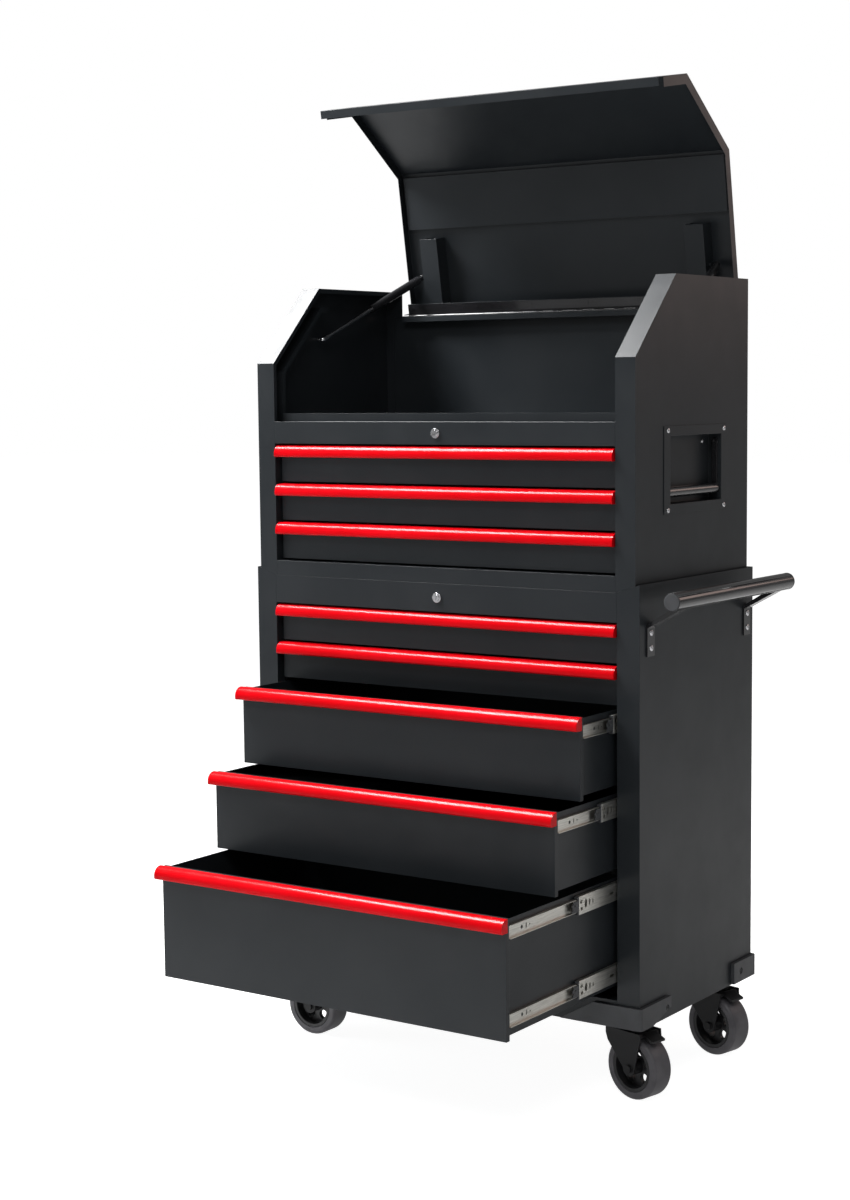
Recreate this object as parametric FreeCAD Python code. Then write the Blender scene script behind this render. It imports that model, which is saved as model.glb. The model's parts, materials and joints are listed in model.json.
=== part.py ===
"""Rolling tool chest: a five-drawer cabinet on casters with a three-drawer top chest and a lifting lid."""
import math
import os

import FreeCAD
import Part

Vec = FreeCAD.Vector

# Lower cabinet, millimetres. x runs left to right, y runs from the front face to the back, z is up.
# z = 0 is the top edge of the lower cabinet while the parts are built.
SHEET = 1.2
CABINET_HALF_WIDTH = 457.0
CABINET_DEPTH = 473.0
CABINET_BOTTOM = -853.0
CABINET_OPENING_HALF = 408.0
CABINET_OPENING_TOP = -73.0
CABINET_OPENING_BOTTOM = -800.0
TRAY_DEPTH = 16.0
TRAY_GAP = 0.3
POST_RETURN = 25.0
LIP = 12.0
RAIL_RETURN = 22.0
REAR_FLANGE = 20.0

# Top chest, standing in the tray of the cabinet.
CHEST_HALF_WIDTH = 448.0
CHEST_DEPTH = 464.0
CHEST_BOTTOM = -16.0
CHEST_TOP = 581.0
CHEST_SLOPE_START = 423.0
CHEST_SLOPE_RUN = CHEST_TOP - CHEST_SLOPE_START
CHEST_OPENING_HALF = 405.0
CHEST_OPENING_TOP = 258.0
CHEST_OPENING_BOTTOM = 15.0
CHEST_RAIL_TOP = 303.0
CHEST_BACK_TOP = 527.0
TILL_FLOOR = 262.0
HEM = 8.0
JAMB_OFFSET = 40.0
JAMB_TOP = 558.0
JAMB_INNER = 413.0
UPSTAND_TOP = 320.0
BACK_RETURN = 23.0
BACK_RETURN_HALF = 389.0

# Lid and piano hinge. The lid stands open.
LID_HALF_WIDTH = 403.0
LID_LIP_BOTTOM = 305.0
LID_FLANGE = 20.0
LID_FLANGE_END = 325.0
LID_RETURN_BOTTOM = 530.4
LID_OPEN_DEG = 80.6
HINGE_Y = 466.0
HINGE_Z = 528.5
KNUCKLE_R = 2.2
HINGE_PIN_R = 1.0
RUN_FIT = 0.05
KNUCKLE_PITCH = 50.0
LEAF = 1.0
RIVET_PITCH = 140.0
RIVET_Y = 449.0
RIVET_R = 3.4
RIVET_HEIGHT = 0.8

# Gas struts, as they stand with the lid open.
STRUT_LOW = Vec(430.0, 202.0, 475.0)
STRUT_HIGH = Vec(366.0, 487.0, 614.0)
STRUT_ROD_R = 4.0
STRUT_TUBE_R = 9.0
STRUT_BORE_R = 7.0
STRUT_SOCKET_R = 6.5
STRUT_TUBE_LENGTH = 170.0
STRUT_NECK_R = 5.5
CLIP_HOLE_R = 1.3
STUD_R = 4.0
STUD_REACH = 9.0

# Drawers: name, top of the handle rail, bottom of the front panel, how far it stands open, slides per side.
CABINET_DRAWERS = (
    ("cabinet_drawer_1", -76.0, -152.0, 0.0, (29.0,)),
    ("cabinet_drawer_2", -156.0, -232.0, 0.0, (29.0,)),
    ("cabinet_drawer_3", -236.0, -394.0, 137.0, (29.0,)),
    ("cabinet_drawer_4", -398.0, -556.0, 228.0, (29.0,)),
    ("cabinet_drawer_5", -560.0, -784.0, 395.0, (27.0, 187.0)),
)
CHEST_DRAWERS = (
    ("chest_drawer_1", 255.0, 179.0, 0.0, (29.0,)),
    ("chest_drawer_2", 175.0, 99.0, 0.0, (29.0,)),
    ("chest_drawer_3", 95.0, 19.0, 0.0, (29.0,)),
)
DRAWER_SHEET = 1.0
FRONT_PLANE = 13.0
FRONT_PAN_DEPTH = 11.0
FRONT_SIDE_GAP = 7.0
BOX_BACK = 436.0
BOX_BELOW_TOP = 4.0
BOX_ABOVE_FRONT_BOTTOM = 8.0
CHEST_BOX_BACK = 428.0
HANDLE_STANDOUT = 21.0
HANDLE_HEIGHT = 25.0
HANDLE_WALL = 2.5
HANDLE_CROWN_R = 18.0
HANDLE_CHIN_R = 4.0
HANDLE_SIDE_GAP = 3.0

# Ball-bearing slides.
SLIDE_WALL_CABINET = 409.0
SLIDE_WALL_CHEST = 406.0
SLIDE_THICK = 12.7
SLIDE_GAUGE = 1.2
CASE_HALF_HEIGHT = 22.5
CASE_REACH = 9.5
CASE_START = 30.0
CASE_LENGTH = 400.0
MID_HALF_HEIGHT = 17.5
MID_BACK_GAP = 2.8
MID_REACH = 10.9
MID_START = 60.0
MID_LENGTH = 350.0
MID_CAP_LENGTH = 24.0
MID_BAND_LENGTH = 5.0
MID_CAP_SEAM = 0.2
MID_TONGUE_HALF = 10.5
INNER_HALF_HEIGHT = 12.5
INNER_REACH = 5.5
INNER_START = 25.0
INNER_LENGTH = 390.0
CAP_CLEAR = 0.7

# Uprights that carry the slides.
UPRIGHT_WIDTH = 30.0
UPRIGHT_FRONT = 32.0
UPRIGHT_REAR = 396.0

# Side handles of the top chest.
PAN_PLATE = (109.0, 371.0, 125.0, 293.0)
PAN_WINDOW = (135.0, 345.0, 144.0, 274.0)
PAN_PLATE_THICK = 1.5
PAN_CLEAR = 2.0
PAN_BACK = 420.0
BAIL_PIVOT_X = 436.0
BAIL_PIVOT_Z = 259.0
BAIL_GRIP_Z = 166.0
BAIL_GRIP_R = 10.5
BAIL_ARM_THICK = 3.0
BAIL_ARM_WIDTH = 12.0
BAIL_PIN_R = 3.0
BAIL_FIT = 0.06

# Push handle on the right of the cabinet.
TUBE_X = 527.0
TUBE_Z = -28.0
TUBE_R = 17.0
TUBE_WALL = 2.0
TUBE_FRONT = -5.0
TUBE_BACK = 487.0
ARM_YS = (39.0, 443.0)
ARM_HALF_WIDTH = 14.0
ARM_THICK = 3.0
ARM_BEND_Z = -80.0
ARM_BOTTOM_Z = -137.0
BOLT_ZS = (-92.5, -121.5)

# Casters.
FLOOR = -1003.0
WHEEL_R = 62.5
WHEEL_WIDTH = 50.0
TYRE_INNER_R = 47.0
RIM_INNER_R = 40.0
WEB_HALF = 5.0
BOSS_R = 14.0
BOSS_HALF = 26.5
AXLE_R = 4.0
WHEEL_FIT = 0.05
SPOKES = 5
SWIVEL_X = 396.0
SWIVEL_YS = (66.0, 401.0)
SWIVEL_TRAIL = 28.0
SWIVEL_TURN_DEG = -13.0
FIXED_X = -362.0
FIXED_YS = (62.0, 411.0)
PLATE_HALF_X = 50.0
PLATE_HALF_Y = 42.0
PLATE_THICK = 3.0
RACE_R = 30.0
RACE_DEPTH = 10.0
CROWN_GAP = 1.5
CROWN_THICK = 3.0
KINGPIN_R = 6.0
LEG_INNER = 28.5
LEG_THICK = 3.0
PEDAL_PIVOT_X = 50.0
PEDAL_PIVOT_DROP = 21.0
PEDAL_BARREL_R = 4.6
PEDAL_PIN_R = 3.0
PEDAL_REACH = 28.0
PEDAL_DROP = 6.0
PEDAL_HALF_WIDTH = 18.0
CASTER_BOLT_X = 40.0
CASTER_BOLT_Y = 32.0
LEG_END_R = 15.0

# Bumpers, locks and fasteners.
BUMPER_THICK = 8.0
BUMPER_TOP = -808.0
BUMPER_BOTTOM = -851.0
BUMPER_FRONT_LOW = 285.0
BUMPER_FRONT_HIGH = 360.0
BUMPER_BACK_LOW = 330.0
BUMPER_BACK_HIGH = 385.0
BUMPER_SIDE_REACH = 112.0
BUMPER_REAR_REACH = 91.0
BUMPER_ROUND = 7.0
BUMPER_RECESS = 3.0
BUMPER_SCREW_YS = (97.0, 413.0)
BUMPER_SCREW_Z = -829.0
LOCK_CABINET_Z = -44.5
LOCK_CHEST_Z = 281.0
LOCK_PLUG_R = 6.5
PLUG_FRONT = -4.5
CAM_FRONT = 26.5
CAM_THICK = 2.0
CAM_HALF = 5.0
CAM_REACH = 18.0
LOCK_BARREL_R = 9.0
LOCK_FLANGE_R = 10.0
SCREW_R = 5.0
SCREW_HEIGHT = 2.6
SMALL_SCREW_R = 4.0
BOLT_R = 6.0
PAN_SCREW_YS = (124.2, 355.9)
PAN_SCREW_ZS = (132.4, 284.4)
POCKET_SCREW_YS = (163.4, 316.6)
POCKET_SCREW_Z = 259.4


def box(x0, x1, y0, y1, z0, z1):
    return Part.makeBox(x1 - x0, y1 - y0, z1 - z0, Vec(x0, y0, z0))


def cylinder(start, direction, radius, length):
    return Part.makeCylinder(radius, length, start, direction)


def fuse(shapes):
    joined = shapes[0].multiFuse(shapes[1:]) if len(shapes) > 1 else shapes[0]
    return joined.removeSplitter()


def group(shapes):
    return Part.makeCompound(shapes)


def mirrored(shape):
    return shape.mirror(Vec(0, 0, 0), Vec(1, 0, 0))


def both_sides(shape):
    return [shape, mirrored(shape)]


def face_of(points):
    return Part.Face(Part.makePolygon(points + [points[0]]))


def prism_x(yz_points, x0, x1):
    """A solid with the outline given in y and z, running from x0 to x1."""
    face = face_of([Vec(x0, y, z) for y, z in yz_points])
    return face.extrude(Vec(x1 - x0, 0, 0))


def prism_y(xz_points, y0, y1):
    """A solid with the outline given in x and z, running from y0 to y1."""
    face = face_of([Vec(x, y0, z) for x, z in xz_points])
    return face.extrude(Vec(0, y1 - y0, 0))


def edges_along(shape, axis, test):
    """The straight edges that run along one axis and pass the test."""
    chosen = []
    for edge in shape.Edges:
        if len(edge.Vertexes) != 2:
            continue
        run = edge.Vertexes[1].Point - edge.Vertexes[0].Point
        if abs(abs(run.normalize().dot(axis)) - 1) < 1e-6 and test(edge.CenterOfMass):
            chosen.append(edge)
    return chosen


def outline(depth, lowest, rearmost):
    """The chest's side outline, set in by depth: up the front, up the slope and back along the top."""
    lean = depth * (math.sqrt(2) - 1)
    return [
        (depth, lowest),
        (depth, CHEST_SLOPE_START - lean),
        (CHEST_SLOPE_RUN + lean, CHEST_TOP - depth),
        (rearmost, CHEST_TOP - depth),
    ]


def strip(outer, inner, x0, x1, lowest, rearmost):
    """A band that follows the chest's side outline between two depths."""
    path = outline(outer, lowest, rearmost) + outline(inner, lowest, rearmost)[::-1]
    return prism_x(path, x0, x1)


# ---------------------------------------------------------------- lower cabinet

def cabinet_side():
    inner = CABINET_HALF_WIDTH - SHEET
    opening = CABINET_OPENING_HALF
    low = CABINET_BOTTOM + SHEET
    high = -TRAY_DEPTH - SHEET
    panel = box(inner, CABINET_HALF_WIDTH, 0, CABINET_DEPTH, CABINET_BOTTOM, 0)
    post = prism_y(
        [(opening, CABINET_BOTTOM), (inner, CABINET_BOTTOM), (inner, 0), (opening, -TRAY_DEPTH)],
        0, SHEET)
    post_return = box(opening, opening + SHEET, SHEET, POST_RETURN, low, high)
    post_lip = box(opening + SHEET, opening + LIP, POST_RETURN - SHEET, POST_RETURN, low, high)
    rear = box(inner - REAR_FLANGE, inner, CABINET_DEPTH - 2 * SHEET, CABINET_DEPTH - SHEET, low, high)
    return fuse([panel, post, post_return, post_lip, rear])


def cabinet_back():
    inner = CABINET_HALF_WIDTH - SHEET
    return box(-inner, inner, CABINET_DEPTH - SHEET, CABINET_DEPTH, CABINET_BOTTOM, 0)


def lock_hole(height):
    return cylinder(Vec(0, -SHEET, height), Vec(0, 1, 0), LOCK_BARREL_R + RUN_FIT, 3 * SHEET)


def cabinet_deck():
    """The tray floor under the top chest and the rail above the first drawer, bent from one sheet."""
    inner = CABINET_HALF_WIDTH - SHEET
    opening = CABINET_OPENING_HALF
    under = -TRAY_DEPTH - SHEET
    bottom = CABINET_OPENING_TOP
    deck = box(-inner, inner, SHEET, CABINET_DEPTH - SHEET, under, -TRAY_DEPTH)
    rail = box(-opening, opening, 0, SHEET, bottom, -TRAY_DEPTH)
    rail_return = box(-opening, opening, SHEET, RAIL_RETURN, bottom, bottom + SHEET)
    rail_lip = box(-opening, opening, RAIL_RETURN - SHEET, RAIL_RETURN, bottom + SHEET, bottom + LIP)
    return fuse([deck, rail, rail_return, rail_lip]).cut(lock_hole(LOCK_CABINET_Z))


def cabinet_base():
    """The floor pan of the cabinet with the rail under the last drawer."""
    inner = CABINET_HALF_WIDTH - SHEET
    opening = CABINET_OPENING_HALF
    top = CABINET_OPENING_BOTTOM
    pan = box(-inner, inner, SHEET, CABINET_DEPTH - 2 * SHEET, CABINET_BOTTOM, CABINET_BOTTOM + SHEET)
    rail = box(-opening, opening, 0, SHEET, CABINET_BOTTOM, top)
    rail_return = box(-opening, opening, SHEET, POST_RETURN, top - SHEET, top)
    rail_lip = box(-opening, opening, POST_RETURN - SHEET, POST_RETURN, top - LIP, top - SHEET)
    return fuse([pan, rail, rail_return, rail_lip])


def upright(wall, outer, front, low, high):
    """A vertical channel between a side panel and the slides."""
    back = front + UPRIGHT_WIDTH
    web = box(wall, wall + SHEET, front, back, low, high)
    near = box(wall + SHEET, outer, front, front + SHEET, low, high)
    far = box(wall + SHEET, outer, back - SHEET, back, low, high)
    return fuse([web, near, far])


def slide_uprights():
    pieces = []
    cabinet_outer = CABINET_HALF_WIDTH - SHEET
    chest_outer = CHEST_HALF_WIDTH - SHEET
    for front in (UPRIGHT_FRONT, UPRIGHT_REAR):
        low = CABINET_BOTTOM + SHEET
        high = -TRAY_DEPTH - SHEET
        pieces += both_sides(upright(SLIDE_WALL_CABINET, cabinet_outer, front, low, high))
        low = CHEST_BOTTOM + SHEET
        pieces += both_sides(upright(SLIDE_WALL_CHEST, chest_outer, front, low, TILL_FLOOR - SHEET))
    return group(pieces)


# ---------------------------------------------------------------- slides

def channel(back, reach, half_height, middle, start, length, sign):
    """A channel rolled from strip: back is its web's outer face and its lips run sign x reach from it."""
    web_inner = back + sign * SLIDE_GAUGE
    tip = back + sign * reach
    low = middle - half_height
    high = middle + half_height
    web = box(min(back, web_inner), max(back, web_inner), start, start + length, low, high)
    x0 = min(web_inner, tip)
    x1 = max(web_inner, tip)
    upper = box(x0, x1, start, start + length, high - SLIDE_GAUGE, high)
    lower = box(x0, x1, start, start + length, low, low + SLIDE_GAUGE)
    return fuse([web, upper, lower])


def case_member(wall, middle):
    return channel(wall, CASE_REACH, CASE_HALF_HEIGHT, middle, CASE_START, CASE_LENGTH, -1)


def mid_member(wall, middle, out):
    """The middle slide member with its plastic end band and tongue, half way out with the drawer."""
    start = MID_START - out / 2
    back = wall - MID_BACK_GAP
    reach = MID_REACH - MID_BACK_GAP
    member = channel(back, reach, MID_HALF_HEIGHT, middle, start, MID_LENGTH, -1)
    band = box(back - reach, back, start - MID_BAND_LENGTH, start - MID_CAP_SEAM,
               middle - MID_HALF_HEIGHT, middle + MID_HALF_HEIGHT)
    tongue = box(wall - INNER_REACH + CAP_CLEAR, back, start - MID_CAP_LENGTH, start - MID_BAND_LENGTH,
                 middle - MID_TONGUE_HALF, middle + MID_TONGUE_HALF)
    clear = box(back - reach - 1, wall - INNER_REACH + CAP_CLEAR, start - MID_CAP_LENGTH - 1, start + 1,
                middle - INNER_HALF_HEIGHT - CAP_CLEAR, middle + INNER_HALF_HEIGHT + CAP_CLEAR)
    return [member, fuse([band.cut(clear), tongue])]


def inner_member(wall, middle, out):
    back = wall - SLIDE_THICK
    start = INNER_START - out
    reach = SLIDE_THICK - INNER_REACH
    return channel(back, reach, INNER_HALF_HEIGHT, middle, start, INNER_LENGTH, 1)


def slide_heights(drawer):
    return [drawer[1] - below for below in drawer[4]]


def case_members():
    pieces = []
    for drawers, wall in ((CABINET_DRAWERS, SLIDE_WALL_CABINET), (CHEST_DRAWERS, SLIDE_WALL_CHEST)):
        for drawer in drawers:
            for middle in slide_heights(drawer):
                pieces += both_sides(case_member(wall, middle))
    return group(pieces)


def drawer_mid_members(drawer, wall):
    pieces = []
    for middle in slide_heights(drawer):
        for solid in mid_member(wall, middle, drawer[3]):
            pieces += both_sides(solid)
    return group(pieces)


# ---------------------------------------------------------------- drawers

def drawer_box(drawer, wall, opening_half, back):
    """Folded box, double-skinned front panel and the drawer's own slide members."""
    top, bottom, out = drawer[1], drawer[2], drawer[3]
    half = wall - SLIDE_THICK
    floor = bottom + BOX_ABOVE_FRONT_BOTTOM
    rim = top - BOX_BELOW_TOP
    front_half = opening_half - FRONT_SIDE_GAP
    pan_back = FRONT_PLANE + FRONT_PAN_DEPTH
    outer = box(-half, half, pan_back - DRAWER_SHEET, back, floor, rim)
    hollow = box(-half + DRAWER_SHEET, half - DRAWER_SHEET, pan_back, back - DRAWER_SHEET,
                 floor + DRAWER_SHEET, rim + 1)
    tub = outer.cut(hollow)
    face = box(-front_half, front_half, FRONT_PLANE, pan_back, bottom, top - SHEET)
    face_hollow = box(-front_half + SHEET, front_half - SHEET, FRONT_PLANE + SHEET, pan_back + 1,
                      bottom + SHEET, top - 2 * SHEET)
    panel = face.cut(face_hollow)
    body = fuse([tub, panel])
    body.translate(Vec(0, -out, 0))
    pieces = [body]
    for middle in slide_heights(drawer):
        pieces += both_sides(inner_member(wall, middle, out))
    return group(pieces)


def drawer_handle(drawer, opening_half):
    """Full-width pull rail: rounded outside, hollow underneath for the fingers, closed at both ends."""
    top, out = drawer[1], drawer[3]
    half = opening_half - HANDLE_SIDE_GAP
    back = FRONT_PLANE
    front = FRONT_PLANE - HANDLE_STANDOUT
    outer = box(-half, half, front, back, top - HANDLE_HEIGHT, top)
    along = Vec(1, 0, 0)
    middle_z = top - HANDLE_HEIGHT / 2
    outer = outer.makeFillet(HANDLE_CROWN_R, edges_along(
        outer, along, lambda p: p.y < front + 1 and p.z > middle_z))
    outer = outer.makeFillet(HANDLE_CHIN_R, edges_along(
        outer, along, lambda p: p.y < front + 1 and p.z < middle_z))
    hollow = box(-half + HANDLE_WALL, half - HANDLE_WALL, front + HANDLE_WALL, back - HANDLE_WALL,
                 top - HANDLE_HEIGHT - 1, top - HANDLE_WALL)
    hollow = hollow.makeFillet(HANDLE_CROWN_R - HANDLE_WALL - 0.5, edges_along(
        hollow, along, lambda p: p.y < front + HANDLE_WALL + 1 and p.z > middle_z))
    rail = outer.cut(hollow)
    rail.translate(Vec(0, -out, 0))
    return rail


# ---------------------------------------------------------------- top chest

def tray_corner():
    """The room taken by the tray's sloping front corner, where the chest's post is cut away."""
    inner = CABINET_HALF_WIDTH - SHEET
    opening = CABINET_OPENING_HALF
    under = CHEST_BOTTOM - 1
    corner = [(opening, under), (inner, under), (inner, TRAY_GAP), (opening, CHEST_BOTTOM + TRAY_GAP)]
    return prism_y(corner, -1, SHEET + RUN_FIT)


def chest_side():
    inner = CHEST_HALF_WIDTH - SHEET
    opening = CHEST_OPENING_HALF
    rear = CHEST_DEPTH - SHEET
    contour = outline(0, CHEST_BOTTOM, CHEST_DEPTH) + [(CHEST_DEPTH, CHEST_BOTTOM)]
    panel = prism_x(contour, inner, CHEST_HALF_WIDTH)
    flange = strip(0, SHEET, opening, inner, CHEST_BOTTOM, CHEST_DEPTH)
    hem = strip(SHEET, SHEET + HEM, opening, opening + SHEET, CHEST_RAIL_TOP, rear)
    low = CHEST_BOTTOM + SHEET
    post_return = box(opening, opening + SHEET, SHEET, POST_RETURN, low, CHEST_RAIL_TOP)
    post_lip = box(opening + SHEET, opening + LIP, POST_RETURN - SHEET, POST_RETURN, low, CHEST_RAIL_TOP)
    corner = box(opening, inner, rear, CHEST_DEPTH, CHEST_BACK_TOP, CHEST_TOP - SHEET)
    rear_flange = box(inner - REAR_FLANGE, inner, rear - SHEET, rear, low, CHEST_BACK_TOP + REAR_FLANGE)
    side = fuse([panel, flange, hem, post_return, post_lip, corner, rear_flange])
    y0, y1, z0, z1 = PAN_WINDOW
    gap = PAN_CLEAR
    window = box(inner - 1, CHEST_HALF_WIDTH + 1, y0 - gap, y1 + gap, z0 - gap, z1 + gap)
    return side.cut(window).cut(tray_corner())


def chest_jamb():
    """The inner seal flange that follows the edge of the side up the front and the slope."""
    inner = CHEST_HALF_WIDTH - SHEET
    low = CHEST_RAIL_TOP + 1
    face = strip(JAMB_OFFSET, JAMB_OFFSET + SHEET, JAMB_INNER, inner, low, CHEST_DEPTH)
    edge = strip(JAMB_OFFSET + SHEET, JAMB_OFFSET + HEM + SHEET, JAMB_INNER, JAMB_INNER + SHEET,
                 low, CHEST_DEPTH)
    reach = CHEST_SLOPE_RUN + JAMB_OFFSET
    keep = box(JAMB_INNER, inner, 0, reach, low, CHEST_TOP - JAMB_OFFSET / 2)
    return fuse([face, edge]).common(keep)


def chest_back():
    inner = CHEST_HALF_WIDTH - SHEET
    rear = CHEST_DEPTH - SHEET
    half = BACK_RETURN_HALF
    top = CHEST_BACK_TOP
    panel = box(-inner, inner, rear, CHEST_DEPTH, CHEST_BOTTOM, top)
    fold = box(-half, half, rear - BACK_RETURN, rear, top - SHEET, top)
    lip = box(-half, half, rear - BACK_RETURN, rear - BACK_RETURN + SHEET, top - LIP, top - SHEET)
    return fuse([panel, fold, lip])


def till_floor():
    inner = CHEST_HALF_WIDTH - SHEET
    rear = CHEST_DEPTH - 2 * SHEET
    floor = box(-inner, inner, POST_RETURN, rear, TILL_FLOOR - SHEET, TILL_FLOOR)
    front_lip = box(-JAMB_INNER, JAMB_INNER, POST_RETURN, POST_RETURN + SHEET, TILL_FLOOR, TILL_FLOOR + LIP)
    gap = SHEET + PAN_CLEAR
    notch = box(PAN_BACK - 2 * PAN_CLEAR, inner + 1, PAN_WINDOW[0] - gap, PAN_WINDOW[1] + gap,
                TILL_FLOOR - 2 * SHEET, TILL_FLOOR + 1)
    return fuse([floor, front_lip]).cut(group(both_sides(notch)))


def chest_top_rail():
    opening = CHEST_OPENING_HALF
    bottom = CHEST_OPENING_TOP
    top = CHEST_RAIL_TOP
    step = 18.0
    step_half = 396.0
    face = box(-opening, opening, 0, SHEET, bottom, top)
    under = box(-opening, opening, SHEET, RAIL_RETURN, bottom, bottom + SHEET)
    over = box(-step_half, step_half, SHEET, step + SHEET, top - SHEET, top)
    upstand = box(-step_half, step_half, step, step + SHEET, top, UPSTAND_TOP)
    return fuse([face, under, over, upstand]).cut(lock_hole(LOCK_CHEST_Z))


def chest_base():
    inner = CHEST_HALF_WIDTH - SHEET
    opening = CHEST_OPENING_HALF
    top = CHEST_OPENING_BOTTOM
    pan = box(-inner, inner, SHEET, CHEST_DEPTH - 2 * SHEET, CHEST_BOTTOM, CHEST_BOTTOM + SHEET)
    rail = box(-opening, opening, 0, SHEET, CHEST_BOTTOM, top)
    rail_return = box(-opening, opening, SHEET, POST_RETURN, top - SHEET, top)
    return fuse([pan, rail, rail_return])


# ---------------------------------------------------------------- lid

def opened(shape):
    """Swings a lid part, built closed, up to where the lid stands."""
    turned = shape.copy()
    turned.rotate(Vec(0, HINGE_Y, HINGE_Z), Vec(1, 0, 0), -LID_OPEN_DEG)
    return turned


def lid_shell():
    half = LID_HALF_WIDTH
    rear = CHEST_DEPTH - SHEET
    low = LID_LIP_BOTTOM
    under = LID_RETURN_BOTTOM
    skin = strip(0, SHEET, -half, half, low, CHEST_DEPTH)
    rear_flange = box(-half, half, rear, CHEST_DEPTH, under, CHEST_TOP - SHEET)
    rear_return = box(-BACK_RETURN_HALF, BACK_RETURN_HALF, rear - BACK_RETURN, rear, under, under + SHEET)
    edge_strip = box(-half, half, SHEET, 17.0, low, low + SHEET)
    side = strip(SHEET, LID_FLANGE, half - SHEET, half, LID_FLANGE_END, rear)
    return opened(fuse([skin, rear_flange, rear_return, edge_strip] + both_sides(side)))


def lid_brackets():
    """Cross channel under the bend, two deep brackets for the struts, their studs, and the striker."""
    top = CHEST_TOP - SHEET
    outer = 350.0
    inner = 306.0
    depth = 35.0
    front = 300.0
    rear = CHEST_DEPTH - 2 * SHEET
    bracket = box(inner, outer, front, rear, top - depth, top)
    bracket_hollow = box(inner + SHEET, outer - SHEET, front - 1, rear + 1, top - depth + SHEET, top + 1)
    bracket = bracket.cut(bracket_hollow)
    low_closed = closed_strut_end()
    stud = cylinder(Vec(outer, low_closed.y, low_closed.z), Vec(1, 0, 0), 4.0, 4.0)
    channel_depth = 9.0
    cross_front = CHEST_SLOPE_RUN + 8
    cross_rear = 280.0
    cross_half = LID_HALF_WIDTH - 8
    cross = box(-cross_half, cross_half, cross_front, cross_rear, top - channel_depth, top)
    cross = cross.cut(box(-cross_half - 1, cross_half + 1, cross_front + SHEET, cross_rear - SHEET,
                          top - channel_depth + SHEET, top + 1))
    loop = box(-12, 12, 6, 9, LID_LIP_BOTTOM + SHEET, LID_LIP_BOTTOM + 22)
    loop = loop.cut(box(-9, 9, 5, 10, LID_LIP_BOTTOM, LID_LIP_BOTTOM + 19))
    solids = both_sides(fuse([bracket, stud])) + [cross, loop]
    return group([opened(solid) for solid in solids])


def knuckle_starts(offset):
    count = int(2 * BACK_RETURN_HALF / KNUCKLE_PITCH)
    return [-BACK_RETURN_HALF + offset + KNUCKLE_PITCH * n for n in range(count)]


def hinge_leaf(z0, offset, rivet_xs, rivet_up):
    """One leaf with its knuckles and rivets."""
    half = BACK_RETURN_HALF
    rear = CHEST_DEPTH - SHEET
    width = KNUCKLE_PITCH / 2 - 1
    plate = box(-half, half, rear - BACK_RETURN + 1, HINGE_Y - KNUCKLE_R - 0.4, z0, z0 + LEAF)
    pieces = [plate]
    for start in knuckle_starts(offset):
        tab = box(start, start + width, HINGE_Y - KNUCKLE_R - 0.4, HINGE_Y, z0, z0 + LEAF)
        knuckle = cylinder(Vec(start, HINGE_Y, HINGE_Z), Vec(1, 0, 0), KNUCKLE_R, width)
        pieces += [tab, knuckle]
    for x in rivet_xs:
        z = z0 + LEAF if rivet_up else z0
        head = cylinder(Vec(x, RIVET_Y, z), Vec(0, 0, 1 if rivet_up else -1), RIVET_R, RIVET_HEIGHT)
        pieces.append(head)
    return fuse(pieces)


def hinge_bore(radius):
    return cylinder(Vec(-BACK_RETURN_HALF - 1, HINGE_Y, HINGE_Z), Vec(1, 0, 0), radius,
                    2 * BACK_RETURN_HALF + 2)


def hinge_body_leaf():
    xs = [-277 + RIVET_PITCH * n for n in range(5)]
    leaf = hinge_leaf(CHEST_BACK_TOP, 1.0, xs, True)
    pin = cylinder(Vec(-BACK_RETURN_HALF, HINGE_Y, HINGE_Z), Vec(1, 0, 0), HINGE_PIN_R, 2 * BACK_RETURN_HALF)
    return fuse([leaf, pin])


def hinge_lid_leaf():
    xs = [-377] + [-347 + RIVET_PITCH * n for n in range(5)] + [347, 377]
    leaf = hinge_leaf(LID_RETURN_BOTTOM - LEAF, 1.0 + KNUCKLE_PITCH / 2, xs, False)
    return opened(leaf.cut(hinge_bore(HINGE_PIN_R + RUN_FIT)))


# ---------------------------------------------------------------- gas struts

def closed_strut_end():
    """Where the strut's upper end lies when the lid is shut."""
    rel = STRUT_HIGH - Vec(0, HINGE_Y, HINGE_Z)
    a = math.radians(LID_OPEN_DEG)
    y = rel.y * math.cos(a) - rel.z * math.sin(a)
    z = rel.y * math.sin(a) + rel.z * math.cos(a)
    return Vec(STRUT_HIGH.x, HINGE_Y + y, HINGE_Z + z)


def strut_line():
    run = STRUT_HIGH - STRUT_LOW
    return run.Length, Vec(run.x, run.y, run.z).normalize()


def along_strut(distance):
    return STRUT_LOW + strut_line()[1] * distance


def swing_axis():
    """Square to the plane in which the strut swings from open to shut."""
    axis = (STRUT_HIGH - STRUT_LOW).cross(closed_strut_end() - STRUT_LOW)
    return axis.normalize()


def strut_rod():
    length, line = strut_line()
    tip = length - STRUT_TUBE_LENGTH + 16
    clip_hole = cylinder(STRUT_LOW - swing_axis() * 10, swing_axis(), CLIP_HOLE_R, 20)
    socket = Part.makeSphere(STRUT_SOCKET_R, STRUT_LOW)
    neck = cylinder(STRUT_LOW, line, STRUT_NECK_R, 18.0)
    rod = cylinder(STRUT_LOW, line, STRUT_ROD_R, tip)
    piston = cylinder(along_strut(tip - 5), line, STRUT_BORE_R - 0.08, 5.0)
    return fuse([socket, neck, rod, piston]).cut(clip_hole)


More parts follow.
